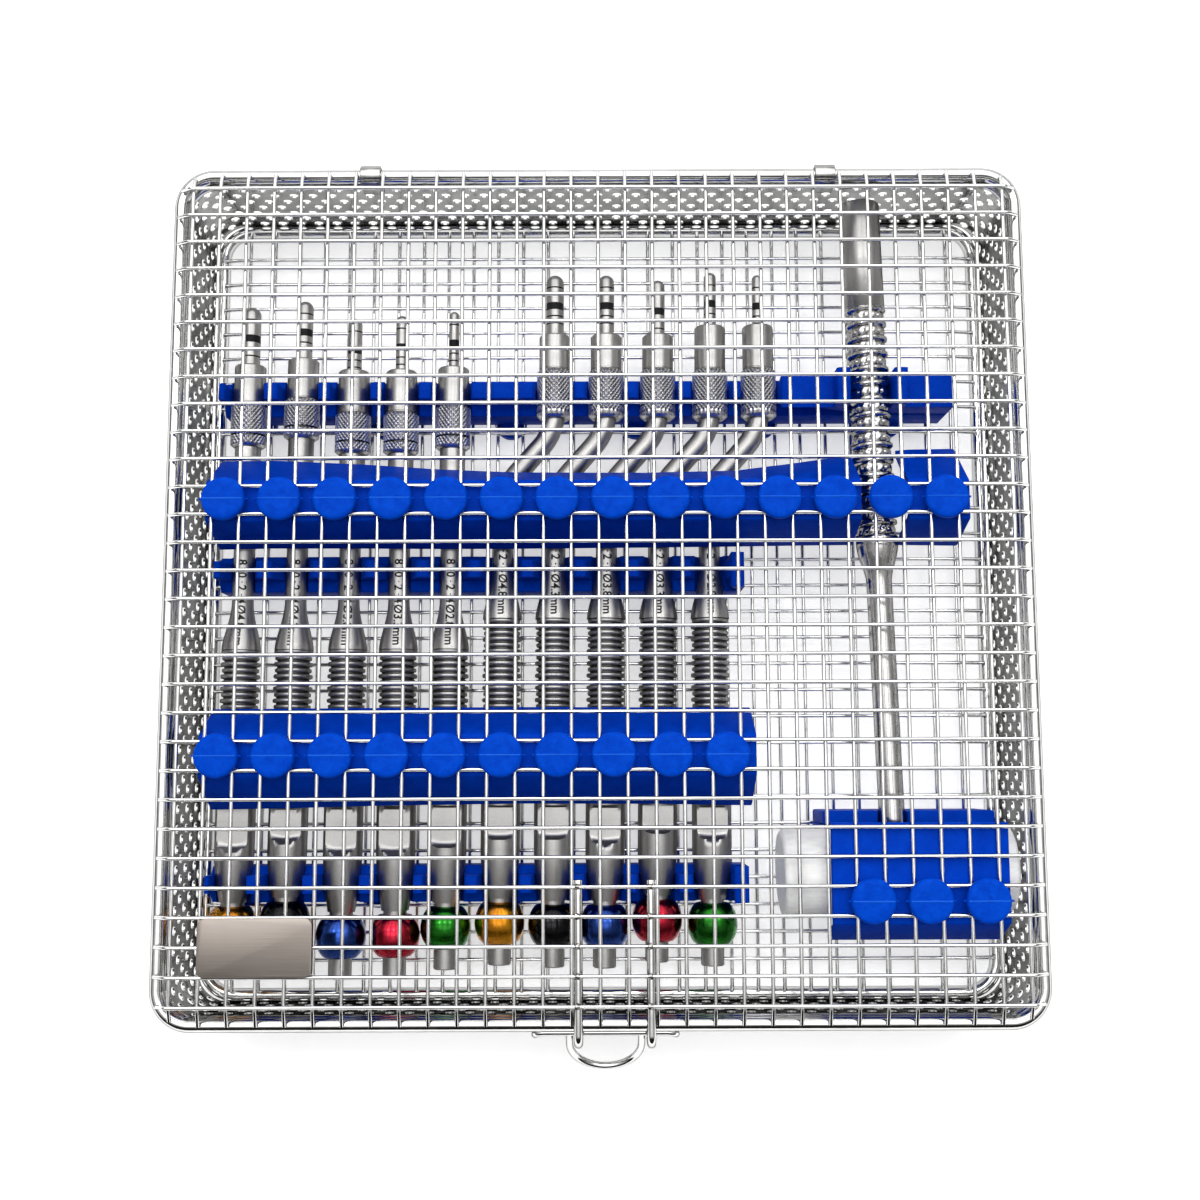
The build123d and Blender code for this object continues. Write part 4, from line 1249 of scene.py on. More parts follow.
# ---------------------------------------------------------------- the osteotomes
@dataclass
class Osteotome:
    """One osteotome: turned handle, neck, shaft, depth stop and colour ball."""

    index: int
    bent: bool
    ball_x: float
    drift: float
    seat: float
    knurl: float
    collar: float
    tip: float
    slide: float = 0.0
    flat_shift: float = 0.0
    ball_y: float = -87.3
    axis_z: float = TOOL_Z
    ball_d: float = 13.0
    ball_l: float = 10.7
    ball_end_d: float = 8.2
    spindle_d: float = 6.0
    stub_l: float = 10.6
    taper_from: float = 6.3
    grip_from: float = 20.8
    cone_d: float = 7.1
    grip_d: float = 10.2
    bell_l: float = 13.3
    neck_d: float = 5.6
    neck_l: float = 14.8
    shaft_d: float = 6.8
    bend_from: float = 115.4
    bend_to: float = 131.0
    bend_soft: float = 5.5
    offset: float = 13.6
    collar_d: float = 8.3
    knurl_d: float = 9.5
    flat_depth: float = 1.9
    flat_to: float = 31.8
    flat_round: float = 2.4
    flat_run: float = 1.8
    flat_power: float = 2.3
    rib_pitch: float = 1.6
    rib_depth: float = 0.9
    low_rib: float = 0.3
    knurl_count: int = 26
    knurl_step: float = 0.68
    knurl_depth: float = 0.45
    knurl_pit: float = 0.34
    pit_shade_share: float = 0.42
    groove_at: float = 0.27
    letter_h: float = 3.3
    letter_edge: float = 0.9
    letter_deep: float = 0.12
    text_l: float = 23.0
    tip_diameters: tuple[float, ...] = (4.8, 4.3, 3.8, 3.3, 2.8)

    @property
    def flat_from(self) -> float:
        """Where the thumb flat's run-out begins."""
        return self.grip_from + self.flat_shift

    @property
    def end(self) -> float:
        """Ball centre to the end of the tip."""
        return self.seat + self.knurl + self.collar + self.tip

    @property
    def grip_to(self) -> float:
        """Ball centre to the end of the grip."""
        return 80.3 if self.bent else 72.3

    @property
    def lay(self) -> Matrix:
        """The tool's place in the tray."""
        turn = -math.atan2(self.drift, self.end)
        spot = Matrix.Translation((self.ball_x, self.ball_y, self.axis_z))
        return spot @ Matrix.Rotation(turn, 4, "Z")

    @property
    def label(self) -> str:
        """The tool's part of its nodes' names."""
        return f"{'bent' if self.bent else 'straight'}_{self.index + 1}"

    def grip_profile(self) -> list[Vec2]:
        """Stub, spindle, taper, thumb flat zone, ribs and bell, as (distance, radius)."""
        stub, r = self.spindle_d / 2, self.grip_d / 2
        tail, cone_at = self.slide - self.stub_l, self.taper_from + self.slide
        cone_to = self.grip_from - 2.0
        profile = [(tail, 0.0), (tail, stub - 0.3), (tail + 0.3, stub), (cone_at, stub)]
        cone = self.cone_d / 2
        for share in (0.0, 0.3, 0.6, 0.85, 1.0):
            profile.append((cone_at + share * (cone_to - cone_at),
                            cone + (r - cone) * share * (1.4 - 0.4 * share)))
        y = cone_to + 0.2
        run_end = self.flat_from + self.flat_round + self.flat_run
        while y < self.flat_to - 0.2:
            profile.append((y, r))
            y += 0.2 if self.flat_from - 0.3 < y < run_end else 1.0
        first = self.flat_to + 0.6
        profile += [(self.flat_to, r), (first, r)]
        count = round((self.grip_to - first) / self.rib_pitch)
        pitch = (self.grip_to - first) / count
        deep = r - self.rib_depth
        for i in range(count):
            at = first + i * pitch
            crest = r - self.low_rib * (i % 2)
            profile += [(at + share * pitch, deep) for share in (0.04, 0.28)]
            profile += [(at + share * pitch, crest - drop) for share, drop in RIB_CREST]
        profile.append((self.grip_to, r))
        neck = self.neck_d / 2
        for i in range(1, 13):
            share = i / 12
            ease = 0.5 + 0.5 * math.cos(math.pi * share ** 0.85)
            profile.append((self.grip_to + share * self.bell_l, neck + (r - neck) * ease))
        return profile

    def mill(self, stock: Stock) -> None:
        """Mill the thumb flat, with the cutter's round run-out at the ball end."""
        r = self.grip_d / 2
        plane = r - self.flat_depth
        half = math.sqrt(r ** 2 - plane ** 2)
        bmesh.ops.bisect_plane(
            stock.bm, geom=[g for g in stock.bm.faces[:] + stock.bm.edges[:] + stock.bm.verts[:]
                            if self.in_flat(g)],
            dist=CUT_DIST, plane_co=(0, 0, plane), plane_no=(0, 0, 1))
        for v in stock.bm.verts:
            if self.flat_from < v.co.y < self.flat_to - 0.05 and v.co.z > plane:
                across = min(1.0, abs(v.co.x) / half)
                bow = 1 - (1 - across ** self.flat_power) ** (1 / self.flat_power)
                edge = self.flat_from + 0.2 + self.flat_round * bow
                share = max(0.0, min(1.0, 1 - (v.co.y - edge) / self.flat_run))
                v.co.z = plane + (v.co.z - plane) * (1 - math.sqrt(1 - share ** 2))

    def in_flat(self, part) -> bool:
        """Whether a face, an edge or a point lies in the zone of the thumb flat."""
        verts = [part] if isinstance(part, bmesh.types.BMVert) else part.verts
        return all(self.flat_from - 0.01 < v.co.y < self.flat_to + 0.01 for v in verts)

    def tip_profile(self, start: float) -> list[Vec2]:
        """The tip from a distance on, with its domed end."""
        r = self.tip_diameters[self.index] / 2
        profile = [(start, r)]
        for mark in (mark for marks in DEPTH_MARKS for mark in marks):
            if self.end - mark > start + 0.3:
                profile.append((self.end - mark, r))
        dome = r * 0.95
        for i in range(1, 9):
            t = math.radians(90 * i / 8)
            profile.append((self.end - dome + dome * math.sin(t),
                            r * math.cos(t) if i < 8 else 0.0))
        return profile

    def rings(self, stock: Stock) -> None:
        """Burn the depth rings on the tip."""
        spans = [(self.end - far, self.end - near) for far, near in DEPTH_MARKS]
        reach = self.tip_diameters[self.index]
        middle = self.offset if self.bent else 0.0
        stock.tint(1, lambda c: (abs(c.x - middle) < reach
                                 and any(a < c.y < b for a, b in spans)))

    def build(self, bench: Bench) -> None:
        """Turn the tool, its stop and its ball, and lay them in the tray."""
        stock = Stock()
        neck, shaft = self.neck_d / 2, self.shaft_d / 2
        bell = self.grip_to + self.bell_l
        profile = self.grip_profile()
        if self.bent:
            stock.lathe(profile + [(bell + 0.5, neck), (bell + 0.5, 0.0)], TURNED_SIDES)
            self.mill(stock)
            stock.tube(self.crank(), neck, ROD_SIDES)
            shank = self.seat - 0.5
            turned = stock.lathe([(shank, 0.0)] + self.tip_profile(shank), 24)
            stock.place(turned, Matrix.Translation((self.offset, 0, 0)))
        else:
            step = bell + self.neck_l
            profile += [(step - 0.5, neck), (step, neck + 0.1), (step, shaft - 0.3),
                        (step + 0.3, shaft), (self.seat, shaft)]
            stock.lathe(profile + self.tip_profile(self.seat), TURNED_SIDES)
            self.mill(stock)
        self.rings(stock)
        self.paint_groove_shade(stock)
        self.numbers(stock)
        stock.place(list(stock.bm.verts), self.lay)
        bench.set_down(stock, "tool_" + self.label, Body.BASE,
                       [SATIN, RING, PAINTED_SHADE],
                       "osteotome_" + self.label, crease=38.0)
        self.stop(bench)
        self.ball(bench)

    def radius_at(self, y: float) -> float:
        """The handle's radius at a distance from the ball."""
        if y > self.grip_to + self.bell_l:
            straight = y > self.grip_to + self.bell_l + self.neck_l and not self.bent
            return (self.shaft_d if straight else self.neck_d) / 2
        profile = self.grip_profile()
        for (a, ra), (b, rb) in zip(profile, profile[1:]):
            if a <= y <= b and b > a:
                return ra + (rb - ra) * (y - a) / (b - a)
        return self.grip_d / 2

    def paint_groove_shade(self, stock: Stock) -> None:
        """Paint shade on the bottoms of the grip's grooves, as a dark steel colour."""
        low = self.grip_d / 2 - self.rib_depth + 0.1
        # painted shade: faces below the groove bottoms take the dark steel
        stock.tint(2, lambda c: (self.flat_to + 0.6 < c.y < self.grip_to
                                 and math.hypot(c.x, c.z) < low))

    def numbers(self, stock: Stock) -> None:
        """Burn the depth numbers along the neck and the bell, wrapped on the turned surface."""
        curve = bpy.data.curves.new("numbers", "FONT")
        curve.body = f"8 10 12 14 Ø{self.tip_diameters[self.index]}mm"
        curve.size = self.letter_h
        curve.space_word = 0.4
        curve.offset = 0.08
        curve.resolution_u = 2
        writer = bpy.data.objects.new("numbers", curve)
        shape = bpy.data.meshes.new_from_object(writer)
        letters = Stock()
        bm = letters.bm
        bm.from_mesh(shape)
        bmesh.ops.remove_doubles(bm, verts=bm.verts, dist=CUT_DIST)
        long = [e for e in bm.edges if e.calc_length() > self.letter_edge]
        bmesh.ops.subdivide_edges(bm, edges=long, cuts=1)
        bmesh.ops.triangulate(bm, faces=bm.faces)
        wide = max(v.co.x for v in bm.verts)
        squeeze = self.text_l / wide
        start = self.grip_to + 1.0 + wide * squeeze
        for v in bm.verts:
            y = start - v.co.x * squeeze
            radius = self.radius_at(y) + 0.02
            turn = (v.co.y - 0.25 * self.letter_h) / radius
            v.co = Vector((radius * math.sin(turn), y, radius * math.cos(turn)))
        push(bm, bm.faces[:], (0, 0, -self.letter_deep))
        bmesh.ops.recalc_face_normals(bm, faces=bm.faces)
        letters.tint(1, lambda c: True)
        stock.join(letters)
        bpy.data.meshes.remove(shape)
        bpy.data.objects.remove(writer)
        bpy.data.curves.remove(curve)

    def crank(self) -> list[Vec3]:
        """The middle line of the cranked shaft."""
        start = self.grip_to + self.bell_l
        bends = [Vector(bend) for bend in (
            (0.0, start), (0.0, self.bend_from), (self.offset, self.bend_to),
            (self.offset, self.seat))]
        path: list[Vec3] = [(0.0, start, 0.0)]
        for before, at, after in zip(bends, bends[1:], bends[2:]):
            first = at - (at - before).normalized() * self.bend_soft
            last = at + (after - at).normalized() * self.bend_soft
            for i in range(11):
                t = i / 10
                spot = first * (1 - t) ** 2 + at * 2 * t * (1 - t) + last * t ** 2
                path.append((spot.x, spot.y, 0.0))
        path.append((self.offset, self.seat, 0.0))
        return path

    def stop(self, bench: Bench) -> None:
        """Turn the depth stop: a diamond-knurled nut with a groove and painted shade in its pits,
        and a smooth collar.
        """
        stock = Stock()
        bore = self.tip_diameters[self.index] / 2 + 0.05
        nut, ring, depth = self.knurl_d / 2, self.collar_d / 2, self.knurl_depth
        low, high = self.seat, self.seat + self.knurl
        groove = low + self.knurl * self.groove_at
        profile = [(low, bore), (low, nut - 0.9), (low + 0.55, nut - 0.25)]
        rows: dict[float, int] = {}
        for start, end in ((low + 0.7, groove - 0.22), (groove + 0.22, high - 0.6)):
            count = max(2, round((end - start) / self.knurl_step))
            for i in range(count + 1):
                at = start + (end - start) * i / count
                rows[round(at, 3)] = i
                profile.append((at, nut))
            if start < groove:
                profile += [(groove - 0.14, nut - 0.7), (groove + 0.14, nut - 0.7)]
        profile += [(high - 0.35, nut - 0.35), (high, ring - 0.15), (high + 0.25, ring - 0.15),
                    (high + 0.3, ring),
                    (high + self.collar - 0.35, ring), (high + self.collar, ring - 0.35),
                    (high + self.collar, bore), (low, bore)]
        verts = stock.lathe(profile, 2 * self.knurl_count)
        pits, peaks = [], []
        for v in verts:
            row = rows.get(round(v.co.y, 3))
            reach = math.hypot(v.co.x, v.co.z)
            if row is not None and abs(reach - nut) < 0.01:
                turn = round(math.atan2(v.co.z, v.co.x) / (math.pi / self.knurl_count))
                if (turn + row) % 2:
                    pits.append(v)
                    v.co.x *= (nut - depth) / reach
                    v.co.z *= (nut - depth) / reach
                else:
                    peaks.append(v)
        bmesh.ops.connect_verts(stock.bm, verts=peaks)
        bmesh.ops.bevel(stock.bm, geom=pits, offset=self.knurl_pit, offset_type="OFFSET",
                        segments=1, profile=0.5,
                        affect="VERTICES", material=-1)
        verts = list(stock.bm.verts)
        # Painted shade: faces deep in the knurl's pits take the dark steel, where shade falls.
        deep = nut - self.pit_shade_share * depth
        stock.tint(2, lambda c: low + 0.7 < c.y < high - 0.6 and math.hypot(c.x, c.z) < deep)
        stock.place(verts, Matrix.Translation((self.offset if self.bent else 0.0, 0, 0)))
        stock.tint(1, lambda c: c.y > high)
        stock.place(verts, self.lay)
        bench.set_down(stock, "stop_" + self.label, Body.BASE,
                       [KNURL, SATIN, PAINTED_SHADE],
                       "depth_stop_" + self.label, crease=24.0)

    def ball(self, bench: Bench) -> None:
        """Turn the colour ball."""
        stock = Stock()
        bore = self.spindle_d / 2 + 0.05
        half, end_r, r = self.ball_l / 2, self.ball_end_d / 2, self.ball_d / 2
        part = 0.9
        low = math.sqrt(1 - part ** 2)
        profile = [(-half, bore), (-half, end_r - 0.35)]
        for i in range(25):
            t = -1 + 2 * i / 24
            along = t * (half - 0.15)
            curve = math.sqrt(max(0.0, 1 - (along / half * part) ** 2))
            profile.append((along, end_r + (r - end_r) * (curve - low) / (1 - low)))
        profile += [(half, end_r - 0.35), (half, bore), (-half, bore)]
        verts = stock.lathe(profile, TURNED_SIDES)
        stock.place(verts, self.lay @ Matrix.Translation((0, self.slide, 0)))
        slot, finish = BALLS[self.index]
        bench.set_down(stock, "ball_" + self.label, Body.BASE, [finish],
                       "colour_ball_" + self.label, crease=50.0)


# Ball X, drift to the tip, stop from the ball, nut, collar, bare tip, ball shift, flat shift.
STRAIGHT: tuple[tuple[float, ...], ...] = (
    (-95.0, 1.2, 126.8, 11.8, 10.6, 16.4, 0.9, -0.5),
    (-81.4, 2.0, 129.0, 11.0, 10.8, 16.5, 2.2, 1.6),
    (-66.9, 1.1, 124.8, 11.2, 11.6, 14.8, -1.6, -1.4),
    (-53.0, -0.1, 124.8, 11.2, 11.6, 15.6, -1.3, -1.4),
    (-39.9, 0.9, 126.1, 11.8, 10.5, 15.9, 0.7, 0.0))
BENT: tuple[tuple[float, ...], ...] = (
    (-26.0, 0.7, 134.4, 13.4, 9.5, 17.1, 1.8, 2.0),
    (-12.2, 0.8, 134.4, 13.4, 9.5, 17.1, 1.2, 2.0),
    (1.1, 1.5, 134.4, 13.4, 9.5, 15.7, 1.0, 0.8),
    (14.6, 2.2, 134.4, 13.4, 12.0, 15.4, 2.4, 3.4),
    (28.9, 0.7, 134.4, 13.4, 12.0, 14.6, 1.4, 1.8))


# ---------------------------------------------------------------- the mallet
@dataclass
class Mallet:
    """The mallet: ribbed handle, steel head and two nylon faces."""

    frame: Frame
    wall_gap: float = 1.6
    strip_gap: float = 0.4
    head_y: float = -72.2
    head_d: float = 22.4
    head_l: float = 58.6
    face_l: float = 15.0
    head_sides: int = 72
    chamfer: float = 1.2
    yaw: float = 1.55
    handle_end: float = 176.6
    tube_l: float = 29.6
    tube_d: float = 10.6
    grip_d: float = 11.0
    grip_l: float = 62.2
    ferrule_l: float = 10.7
    shaft_d: float = 6.6
    socket: float = 4.0
    rib_pitch: float = 4.1
    rib_share: float = 0.4
    rib_depth: float = 0.9
    lumps: int = 15
    lump_h: float = 0.5
    rope_rows: int = 240
    rope_ease: float = 0.8

    @property
    def head_x(self) -> float:
        """The head's middle."""
        return self.frame.half_x - self.frame.inset_x - self.wall_gap - self.head_l / 2

    @property
    def z(self) -> float:
        """Height of the mallet's axis."""
        return self.frame.lid_under - STRIP_T - self.strip_gap - self.head_d / 2

    @property
    def lay(self) -> Matrix:
        """The mallet's place in the tray."""
        turn = Matrix.Rotation(math.radians(self.yaw), 4, "Z")
        return Matrix.Translation((self.head_x, self.head_y, self.z)) @ turn

    def x_at(self, y: float) -> float:
        """X of the handle's axis at a Y."""
        return self.head_x - (y - self.head_y) * math.tan(math.radians(self.yaw))

    def handle(self, bench: Bench) -> None:
        """Turn the handle, with a rope of slanting ribs on the grip."""
        stock = Stock()
        grip_end = self.handle_end - self.tube_l
        grip_start = grip_end - self.grip_l
        shaft, grip, tube = self.shaft_d / 2, self.grip_d / 2, self.tube_d / 2
        start = self.head_d / 2 - self.socket
        profile = [(start, 0.0), (start, shaft), (grip_start - self.ferrule_l, shaft)]
        for i in range(1, 9):
            share = i / 8
            ease = 0.5 - 0.5 * math.cos(math.pi * share ** 0.9)
            profile.append((grip_start - self.ferrule_l + share * self.ferrule_l,
                            shaft + (grip - shaft) * ease))
        for i in range(1, self.rope_rows):
            profile.append((grip_start + self.grip_l * i / self.rope_rows, grip))
        profile += [(grip_end, grip - 0.6), (grip_end + 0.01, tube - 0.35),
                    (grip_end + 0.35, tube),
                    (self.handle_end - 0.5, tube), (self.handle_end, tube - 0.5),
                    (self.handle_end, 0.0)]
        verts = stock.lathe(profile, 60)
        for v in verts:
            along = v.co.y - grip_start
            if 0.2 < along < self.grip_l - 0.2:
                turn = math.atan2(v.co.z, v.co.x)
                phase = (along / self.rib_pitch + 0.12 * turn / math.pi) % 1.0
                if phase < self.rib_share:
                    dip = self.rib_depth * abs(2 * phase / self.rib_share - 1) ** 4
                else:
                    valley = (phase - self.rib_share) / (1 - self.rib_share)
                    swell = math.sin(math.pi * valley)
                    slant = self.lumps * turn + 2.2 * (valley - 0.5)
                    lump = swell * (0.5 + 0.5 * math.cos(slant)) ** 0.6
                    dip = self.rib_depth - self.lump_h * lump
                ease = min(1.0, along / self.rope_ease, (self.grip_l - along) / self.rope_ease)
                scale = (grip - dip * ease) / grip
                v.co.x *= scale
                v.co.z *= scale
        cap = grip_end + 0.2
        stock.tint(1, lambda c: c.y > cap)
        stock.place(verts, self.lay)
        bench.set_down(stock, "mallet_stick", Body.BASE, [BRIGHT, SATIN],
                       "mallet_handle", crease=50.0)

    def head(self, bench: Bench) -> None:
        """Turn the steel core and the two nylon faces."""
        turn = Matrix.Rotation(-math.pi / 2, 4, "Z")
        half, r = self.head_l / 2 - self.face_l, self.head_d / 2
        stock = Stock()
        core = stock.lathe([(-half, 0.0), (-half, r - 0.3), (-half + 0.3, r), (half - 0.3, r),
                            (half, r - 0.3), (half, 0.0)], self.head_sides)
        stock.place(core, self.lay @ turn)
        bench.set_down(stock, "mallet_middle", Body.BASE, [SATIN], "mallet_core")
        end, chamfer = self.head_l / 2, self.chamfer
        for name, side in (("mallet_face_left", -1), ("mallet_face_right", 1)):
            stock = Stock()
            face = stock.lathe([(half, 0.0), (half, r - 0.25), (half + 0.25, r),
                                (end - chamfer, r),
                                (end - chamfer * 0.4, r - chamfer * 0.3),
                                (end - 0.1, r - chamfer * 0.85), (end, r - chamfer * 1.3),
                                (end, 0.0)], self.head_sides)
            flip = Matrix.Rotation(math.pi if side < 0 else 0.0, 4, "Z")
            stock.place(face, self.lay @ flip @ turn)
            bench.set_down(stock, "striker_" + name, Body.BASE, [NYLON], name)

    def rack(self, bench: Bench, left: float, right: float) -> None:
        """Mould the cradle under the head and its slotted back plate.

        Args:
            bench: Where it is set down.
            left: The cradle's left end.
            right: The cradle's right end.
        """
        thick, clear = STRIP_T, SEAT_CLEAR
        back_y = self.head_y + self.head_d / 2 + 2 * clear
        front_y = self.head_y - self.head_d / 2 + thick
        floor = self.frame.floor_top
        top = FINGER_TOP - 3 * thick
        rise = self.z - self.head_d / 4
        r = self.head_d / 2 + clear
        stock = Stock()
        spread = math.degrees(math.asin(min(1.0, (self.z - rise) / r)))
        hollow = arc((self.head_y, self.z), r, 180 + spread, 360 - spread, 14)
        hollow = [(y, z) for y, z in hollow if front_y < y < back_y]
        outline = [(front_y, floor), (front_y, rise)] + hollow + [(back_y, rise), (back_y, floor)]
        outline = [p for i, p in enumerate(outline)
                   if i == 0 or math.dist(p, outline[i - 1]) > 0.05]
        cradle = stock.prism(outline, Along.X, left, right - left)
        stock.soften(cradle, 0.5, over=50.0)
        x = self.x_at(back_y)
        slot = self.shaft_d / 2 + 2 * clear
        plate = [(left, floor), (left, top), (x - slot, top)]
        plate += arc((x, self.z), slot, 180, 360, 12)
        plate += [(x + slot, top), (right, top), (right, floor)]
        verts = stock.prism(plate, Along.Y, back_y, 2 * thick)
        stock.soften(verts, 0.6, 3, over=50.0)
        mesh = self.frame.mesh
        for x in (left + FOOT_D, right - FOOT_D):
            foot(stock, self.frame, mesh.cell(x, mesh.cell_x, mesh.floor_long),
                 mesh.cell(self.head_y, mesh.cell_y, mesh.floor_cross))
        bench.set_down(stock, "cradle_mallet_rack", Body.BASE, [SILICONE],
                       "mallet_rack")

    def build(self, bench: Bench) -> None:
        """Build the mallet and its cradle."""
        self.handle(bench)
        self.head(bench)
        self.rack(bench, 57.0, 100.8)


# ---------------------------------------------------------------- the studio
@dataclass(frozen=True)
class Studio:
    """Camera, floor, sky and lamps."""

    eye: Vec3 = (0.05, -47.45, 395.0)
    tilt: float = 6.9
    roll: float = -0.2
    lens: float = 43.0
    floor_colour: Colour = (0.9, 0.9, 0.9)
    floor_glow: float = 0.47
    sweep: tuple[Vec2, ...] = ((0.0, 3.2), (0.03, 3.6), (0.14, 3.95), (0.35, 4.15), (1.08, 4.25))
    front_edge: Vec2 = (-0.55, -0.25)
    rise: Vec2 = (0.25, 0.85)
    tent_level: float = 0.5
    key_axis: Vec3 = (0.0, 0.5, 0.866)
    key_edge: Vec2 = (0.64, 0.93)
    key_level: float = 2.1
    dark_level: float = 0.015
    lamps: tuple[tuple[float, ...], ...] = (
        (-0.52, 0.34, 1.1, 0.14, 0.14, 0.6), (0.0, 0.36, 1.2, 0.12, 0.12, 0.5),
        (0.52, 0.34, 1.1, 0.14, 0.14, 0.6))

    def camera(self, shift_y: float) -> None:
        """Set up the camera, about the middle of the lid."""
        data = bpy.data.cameras.new("camera")
        data.sensor_width = 36.0
        data.sensor_fit = "HORIZONTAL"
        data.lens = self.lens
        data.clip_start = 0.01
        data.clip_end = 50.0
        eye = bpy.data.objects.new("camera", data)
        eye.location = (Vector(self.eye) + Vector((0, shift_y, 0))) * MM
        eye.rotation_euler = (math.radians(self.tilt), 0.0, math.radians(self.roll))
        bpy.context.scene.collection.objects.link(eye)
        bpy.context.scene.camera = eye

    def floor(self) -> None:
        """Lay the pale floor, which sweeps up at its far rim."""
        bm = bmesh.new()
        rim = bmesh.ops.create_circle(bm, radius=self.sweep[0][1], segments=96,
                                      cap_ends=True)["verts"]
        edges = list({e for v in rim for e in v.link_edges if e.is_boundary})
        for before, (height, reach) in zip(self.sweep, self.sweep[1:]):
            ring, edges = grow(bm, edges)
            share = reach / before[1]
            bmesh.ops.scale(bm, vec=(share, share, 1.0), verts=ring)
            bmesh.ops.translate(bm, vec=(0, 0, height - before[0]), verts=ring)
        bmesh.ops.recalc_face_normals(bm, faces=bm.faces)
        mesh = bpy.data.meshes.new("table_top")
        bm.to_mesh(mesh)
        bm.free()
        table = bpy.data.objects.new("table_top", mesh)
        bpy.context.scene.collection.objects.link(table)
        made = bpy.data.materials.new("table_white")
        made.use_nodes = True
        tree = made.node_tree
        rays = node(tree, "ShaderNodeLightPath").outputs
        seen = reckon(tree, "MAXIMUM", rays["Is Camera Ray"], rays["Is Glossy Ray"])
        seen = reckon(tree, "MAXIMUM", seen, rays["Is Transmission Ray"])
        feed(tree, tree.nodes["Principled BSDF"], {
            "Base Color": (*self.floor_colour, 1.0),
            "Roughness": 0.9,
            "Specular IOR Level": 0.0,
            "Emission Color": (1.0, 1.0, 1.0, 1.0),
            "Emission Strength": reckon(tree, "MULTIPLY", seen, self.floor_glow)})
        mesh.materials.append(made)

    def sky(self) -> None:
        """Light the scene from a soft tent above and behind, open to a dark room in front."""
        world = bpy.data.worlds.new("studio_sky")
        bpy.context.scene.world = world
        world.use_nodes = True
        tree = world.node_tree
        place = node(tree, "ShaderNodeTexCoord").outputs["Generated"]
        part = node(tree, "ShaderNodeSeparateXYZ", {0: place}).outputs
        aim = node(tree, "ShaderNodeVectorMath", {0: place, 1: self.key_axis},
                   operation="DOT_PRODUCT").outputs["Value"]
        soft = "SMOOTHSTEP"
        tent = remap(tree, part["Y"], self.front_edge, curve=soft)
        level = remap(tree, part["Z"], self.rise, (0.0, self.tent_level), soft)
        key = remap(tree, aim, self.key_edge, (0.0, self.key_level), soft)
        lit = reckon(tree, "MULTIPLY", tent, reckon(tree, "ADD", level, key))
        total = reckon(tree, "ADD", lit, self.dark_level)
        straight = node(tree, "ShaderNodeLightPath").outputs["Is Camera Ray"]
        feed(tree, tree.nodes["Background"], {
            "Color": (1.0, 1.0, 1.0, 1.0), "Strength": reckon(tree, "MAXIMUM", total, straight)})

    def lights(self) -> None:
        """Hang the small lamps in a row over the table."""
        for i, (x, y, z, wide, deep, power) in enumerate(self.lamps):
            data = bpy.data.lights.new(f"lamp_{i}", "AREA")
            data.shape = "RECTANGLE"
            data.size, data.size_y = wide, deep
            data.energy = power
            lamp = bpy.data.objects.new(f"lamp_{i}", data)
            lamp.location = (x, y, z)
            aim = Vector((0, 0, 0.02)) - lamp.location
            lamp.rotation_euler = aim.to_track_quat("-Z", "Y").to_euler()
            bpy.context.scene.collection.objects.link(lamp)

    def build(self, shift_y: float) -> None:
        """Set up the whole studio and a plain view transform."""
        bpy.context.scene.view_settings.view_transform = "Standard"
        self.camera(shift_y)
        self.floor()
        self.sky()
        self.lights()


# ---------------------------------------------------------------- the cassette
def tool_list() -> list[Osteotome]:
    """The ten osteotomes in their order from the left."""
    tools = []
    for bent, rows in ((False, STRAIGHT), (True, BENT)):
        tools += [Osteotome(i, bent, *row) for i, row in enumerate(rows)]
    return tools


def seat_list(tools: list[Osteotome], y: float, thick: float, knurls: bool) -> list[Vec2]:
    """X and radius of each instrument where it crosses a rack.

    Args:
        tools: The instruments.
        y: The rack's middle.
        thick: The rack's thickness.
        knurls: Whether the rack holds the depth stops.

    Returns:
        One (X, radius) for each instrument.
    """
    seats = []
    for tool in tools:
        x = tool.ball_x + tool.drift / tool.end * (y - tool.ball_y)
        if knurls:
            seats.append((x + (tool.offset if tool.bent else 0.0), tool.knurl_d / 2))
            continue
        front, back = y - thick / 2 - tool.ball_y, y + thick / 2 - tool.ball_y
        past = min(max((front - tool.grip_to) / tool.bell_l, 0), 1)
        bell = tool.grip_d + (tool.neck_d - tool.grip_d) * past
        past = min(max((back - tool.taper_from) / (tool.grip_from - tool.taper_from), 0), 1)
        taper = tool.spindle_d + (tool.grip_d - tool.spindle_d) * past
        seats.append((x, min(bell, taper) / 2))
    return seats


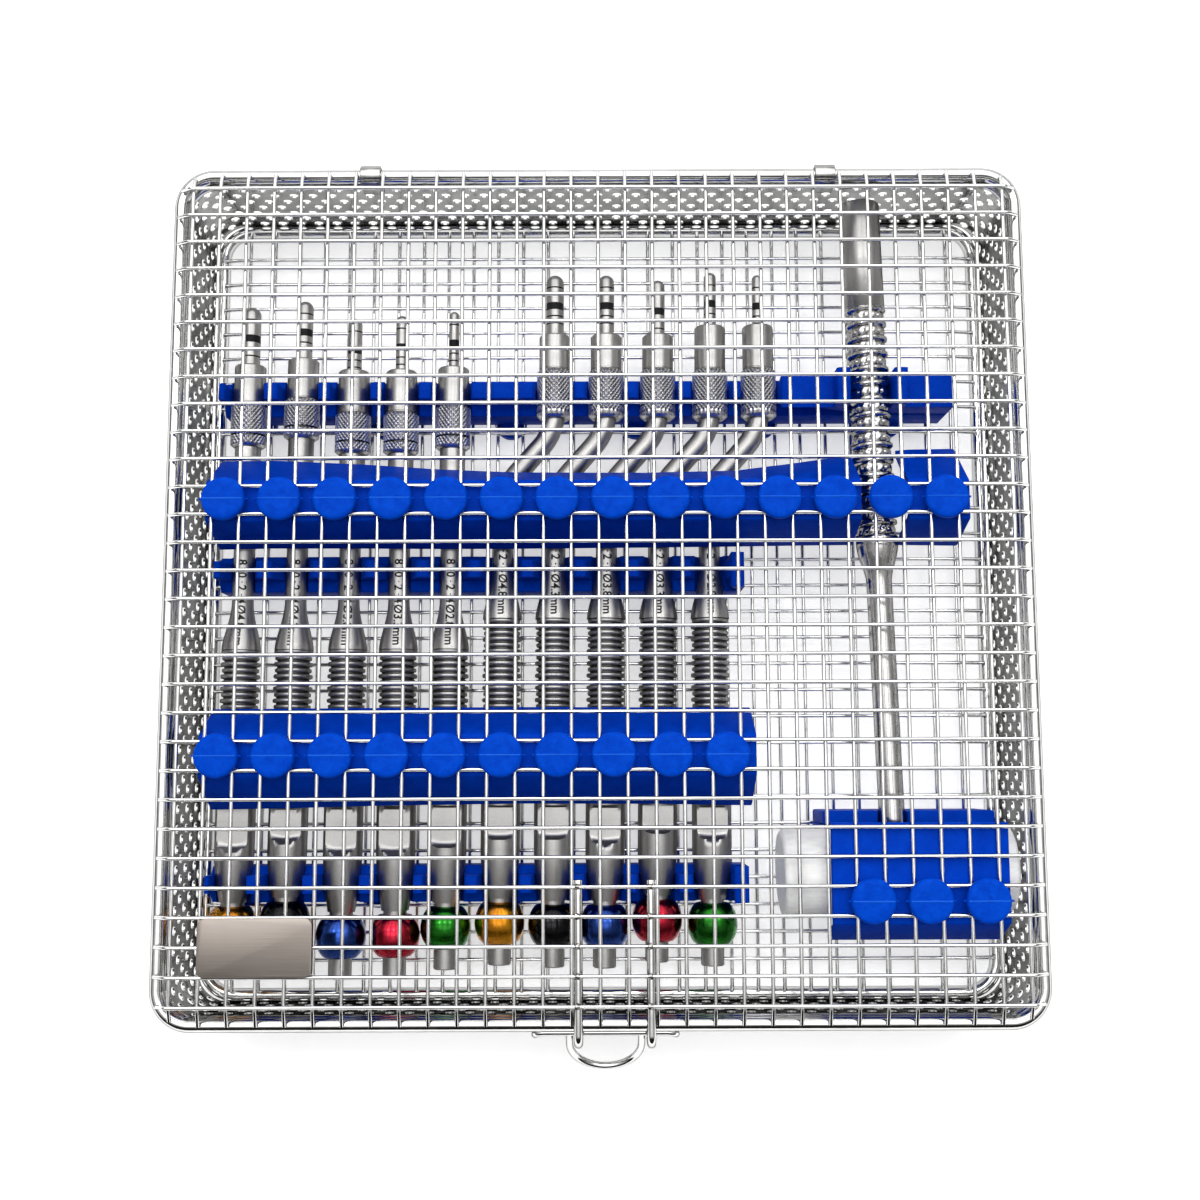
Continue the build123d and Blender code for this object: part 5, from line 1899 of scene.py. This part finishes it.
# Places along a strip, each with the shift of its front flap and of its back flap.
BACK_SWAY: tuple[Vec3, ...] = (
    (-101.0, 0.0, 0.0), (-85.0, 0.3, 0.1), (-62.0, 0.2, -1.0), (-42.0, 0.0, -2.4),
    (-22.0, 0.0, -3.3), (12.0, 0.2, -3.5), (36.0, 0.4, -3.0), (52.0, 0.6, -1.0),
    (68.0, 0.7, 1.3), (82.0, 0.6, 2.6), (96.0, 0.4, 2.8))
FRONT_SWAY: tuple[Vec3, ...] = (
    (-101.0, -1.4, 0.0), (-80.0, -1.1, 0.1), (-55.0, -0.5, 0.2), (-20.0, -0.1, 0.3),
    (15.0, -0.3, 0.1), (40.0, -0.8, 0.0))


def dress(bench: Bench) -> None:
    """Build every piece of the cassette in order."""
    frame = Frame()
    frame.build(bench)
    Latch(frame).build(bench)
    Plate(frame).build(bench)
    tools = tool_list()
    mallet = Mallet(frame)
    over_shaft = TOOL_Z + Osteotome.shaft_d / 2 + FLAP_CLEAR
    over_grip = TOOL_Z + Osteotome.grip_d / 2 + FLAP_CLEAR
    back = Strip(frame, "lid_strip_back", -99.8, 94.2, 21.4, (5.2, 8.6), over_shaft, 14,
                 sway=BACK_SWAY)
    grip_x, grip_half = mallet.x_at(back.y), mallet.grip_d / 2 + 0.5
    back.build(bench, (grip_x - grip_half, grip_x + grip_half))
    Strip(frame, "lid_strip_front", -99.8, 39.0, -42.8, (7.2, 7.2), over_grip, 10,
          sway=FRONT_SWAY).build(bench)
    Strip(frame, "lid_strip_mallet", 57.0, 100.8, -79.2, (5.0, 14.4), over_grip, 3,
          level_back=True, shift_cells=1).build(bench)
    for name, y, right, knurls in (("rack_back", 53.2, 94.0, True),
                                   ("rack_middle", 5.4, 38.0, False),
                                   ("rack_front", -75.7, 38.0, False)):
        grip = (mallet.x_at(y), mallet.grip_d / 2, mallet.z) if knurls else None
        seats = seat_list(tools, y, Rack.thick, knurls)
        Rack(frame, name, y, right, seats, grip=grip).build(bench)
    for tool in tools:
        tool.build(bench)
    mallet.build(bench)


def main() -> None:
    """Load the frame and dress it."""
    logging.basicConfig(level=logging.INFO)
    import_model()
    low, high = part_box("lid_frame_rod")
    bench = Bench((low.y + high.y) / 2 / MM)
    Studio().build(bench.shift_y)
    dress(bench)
    log.info("%d pieces set down", bench.made)


if __name__ == "__main__":
    main()
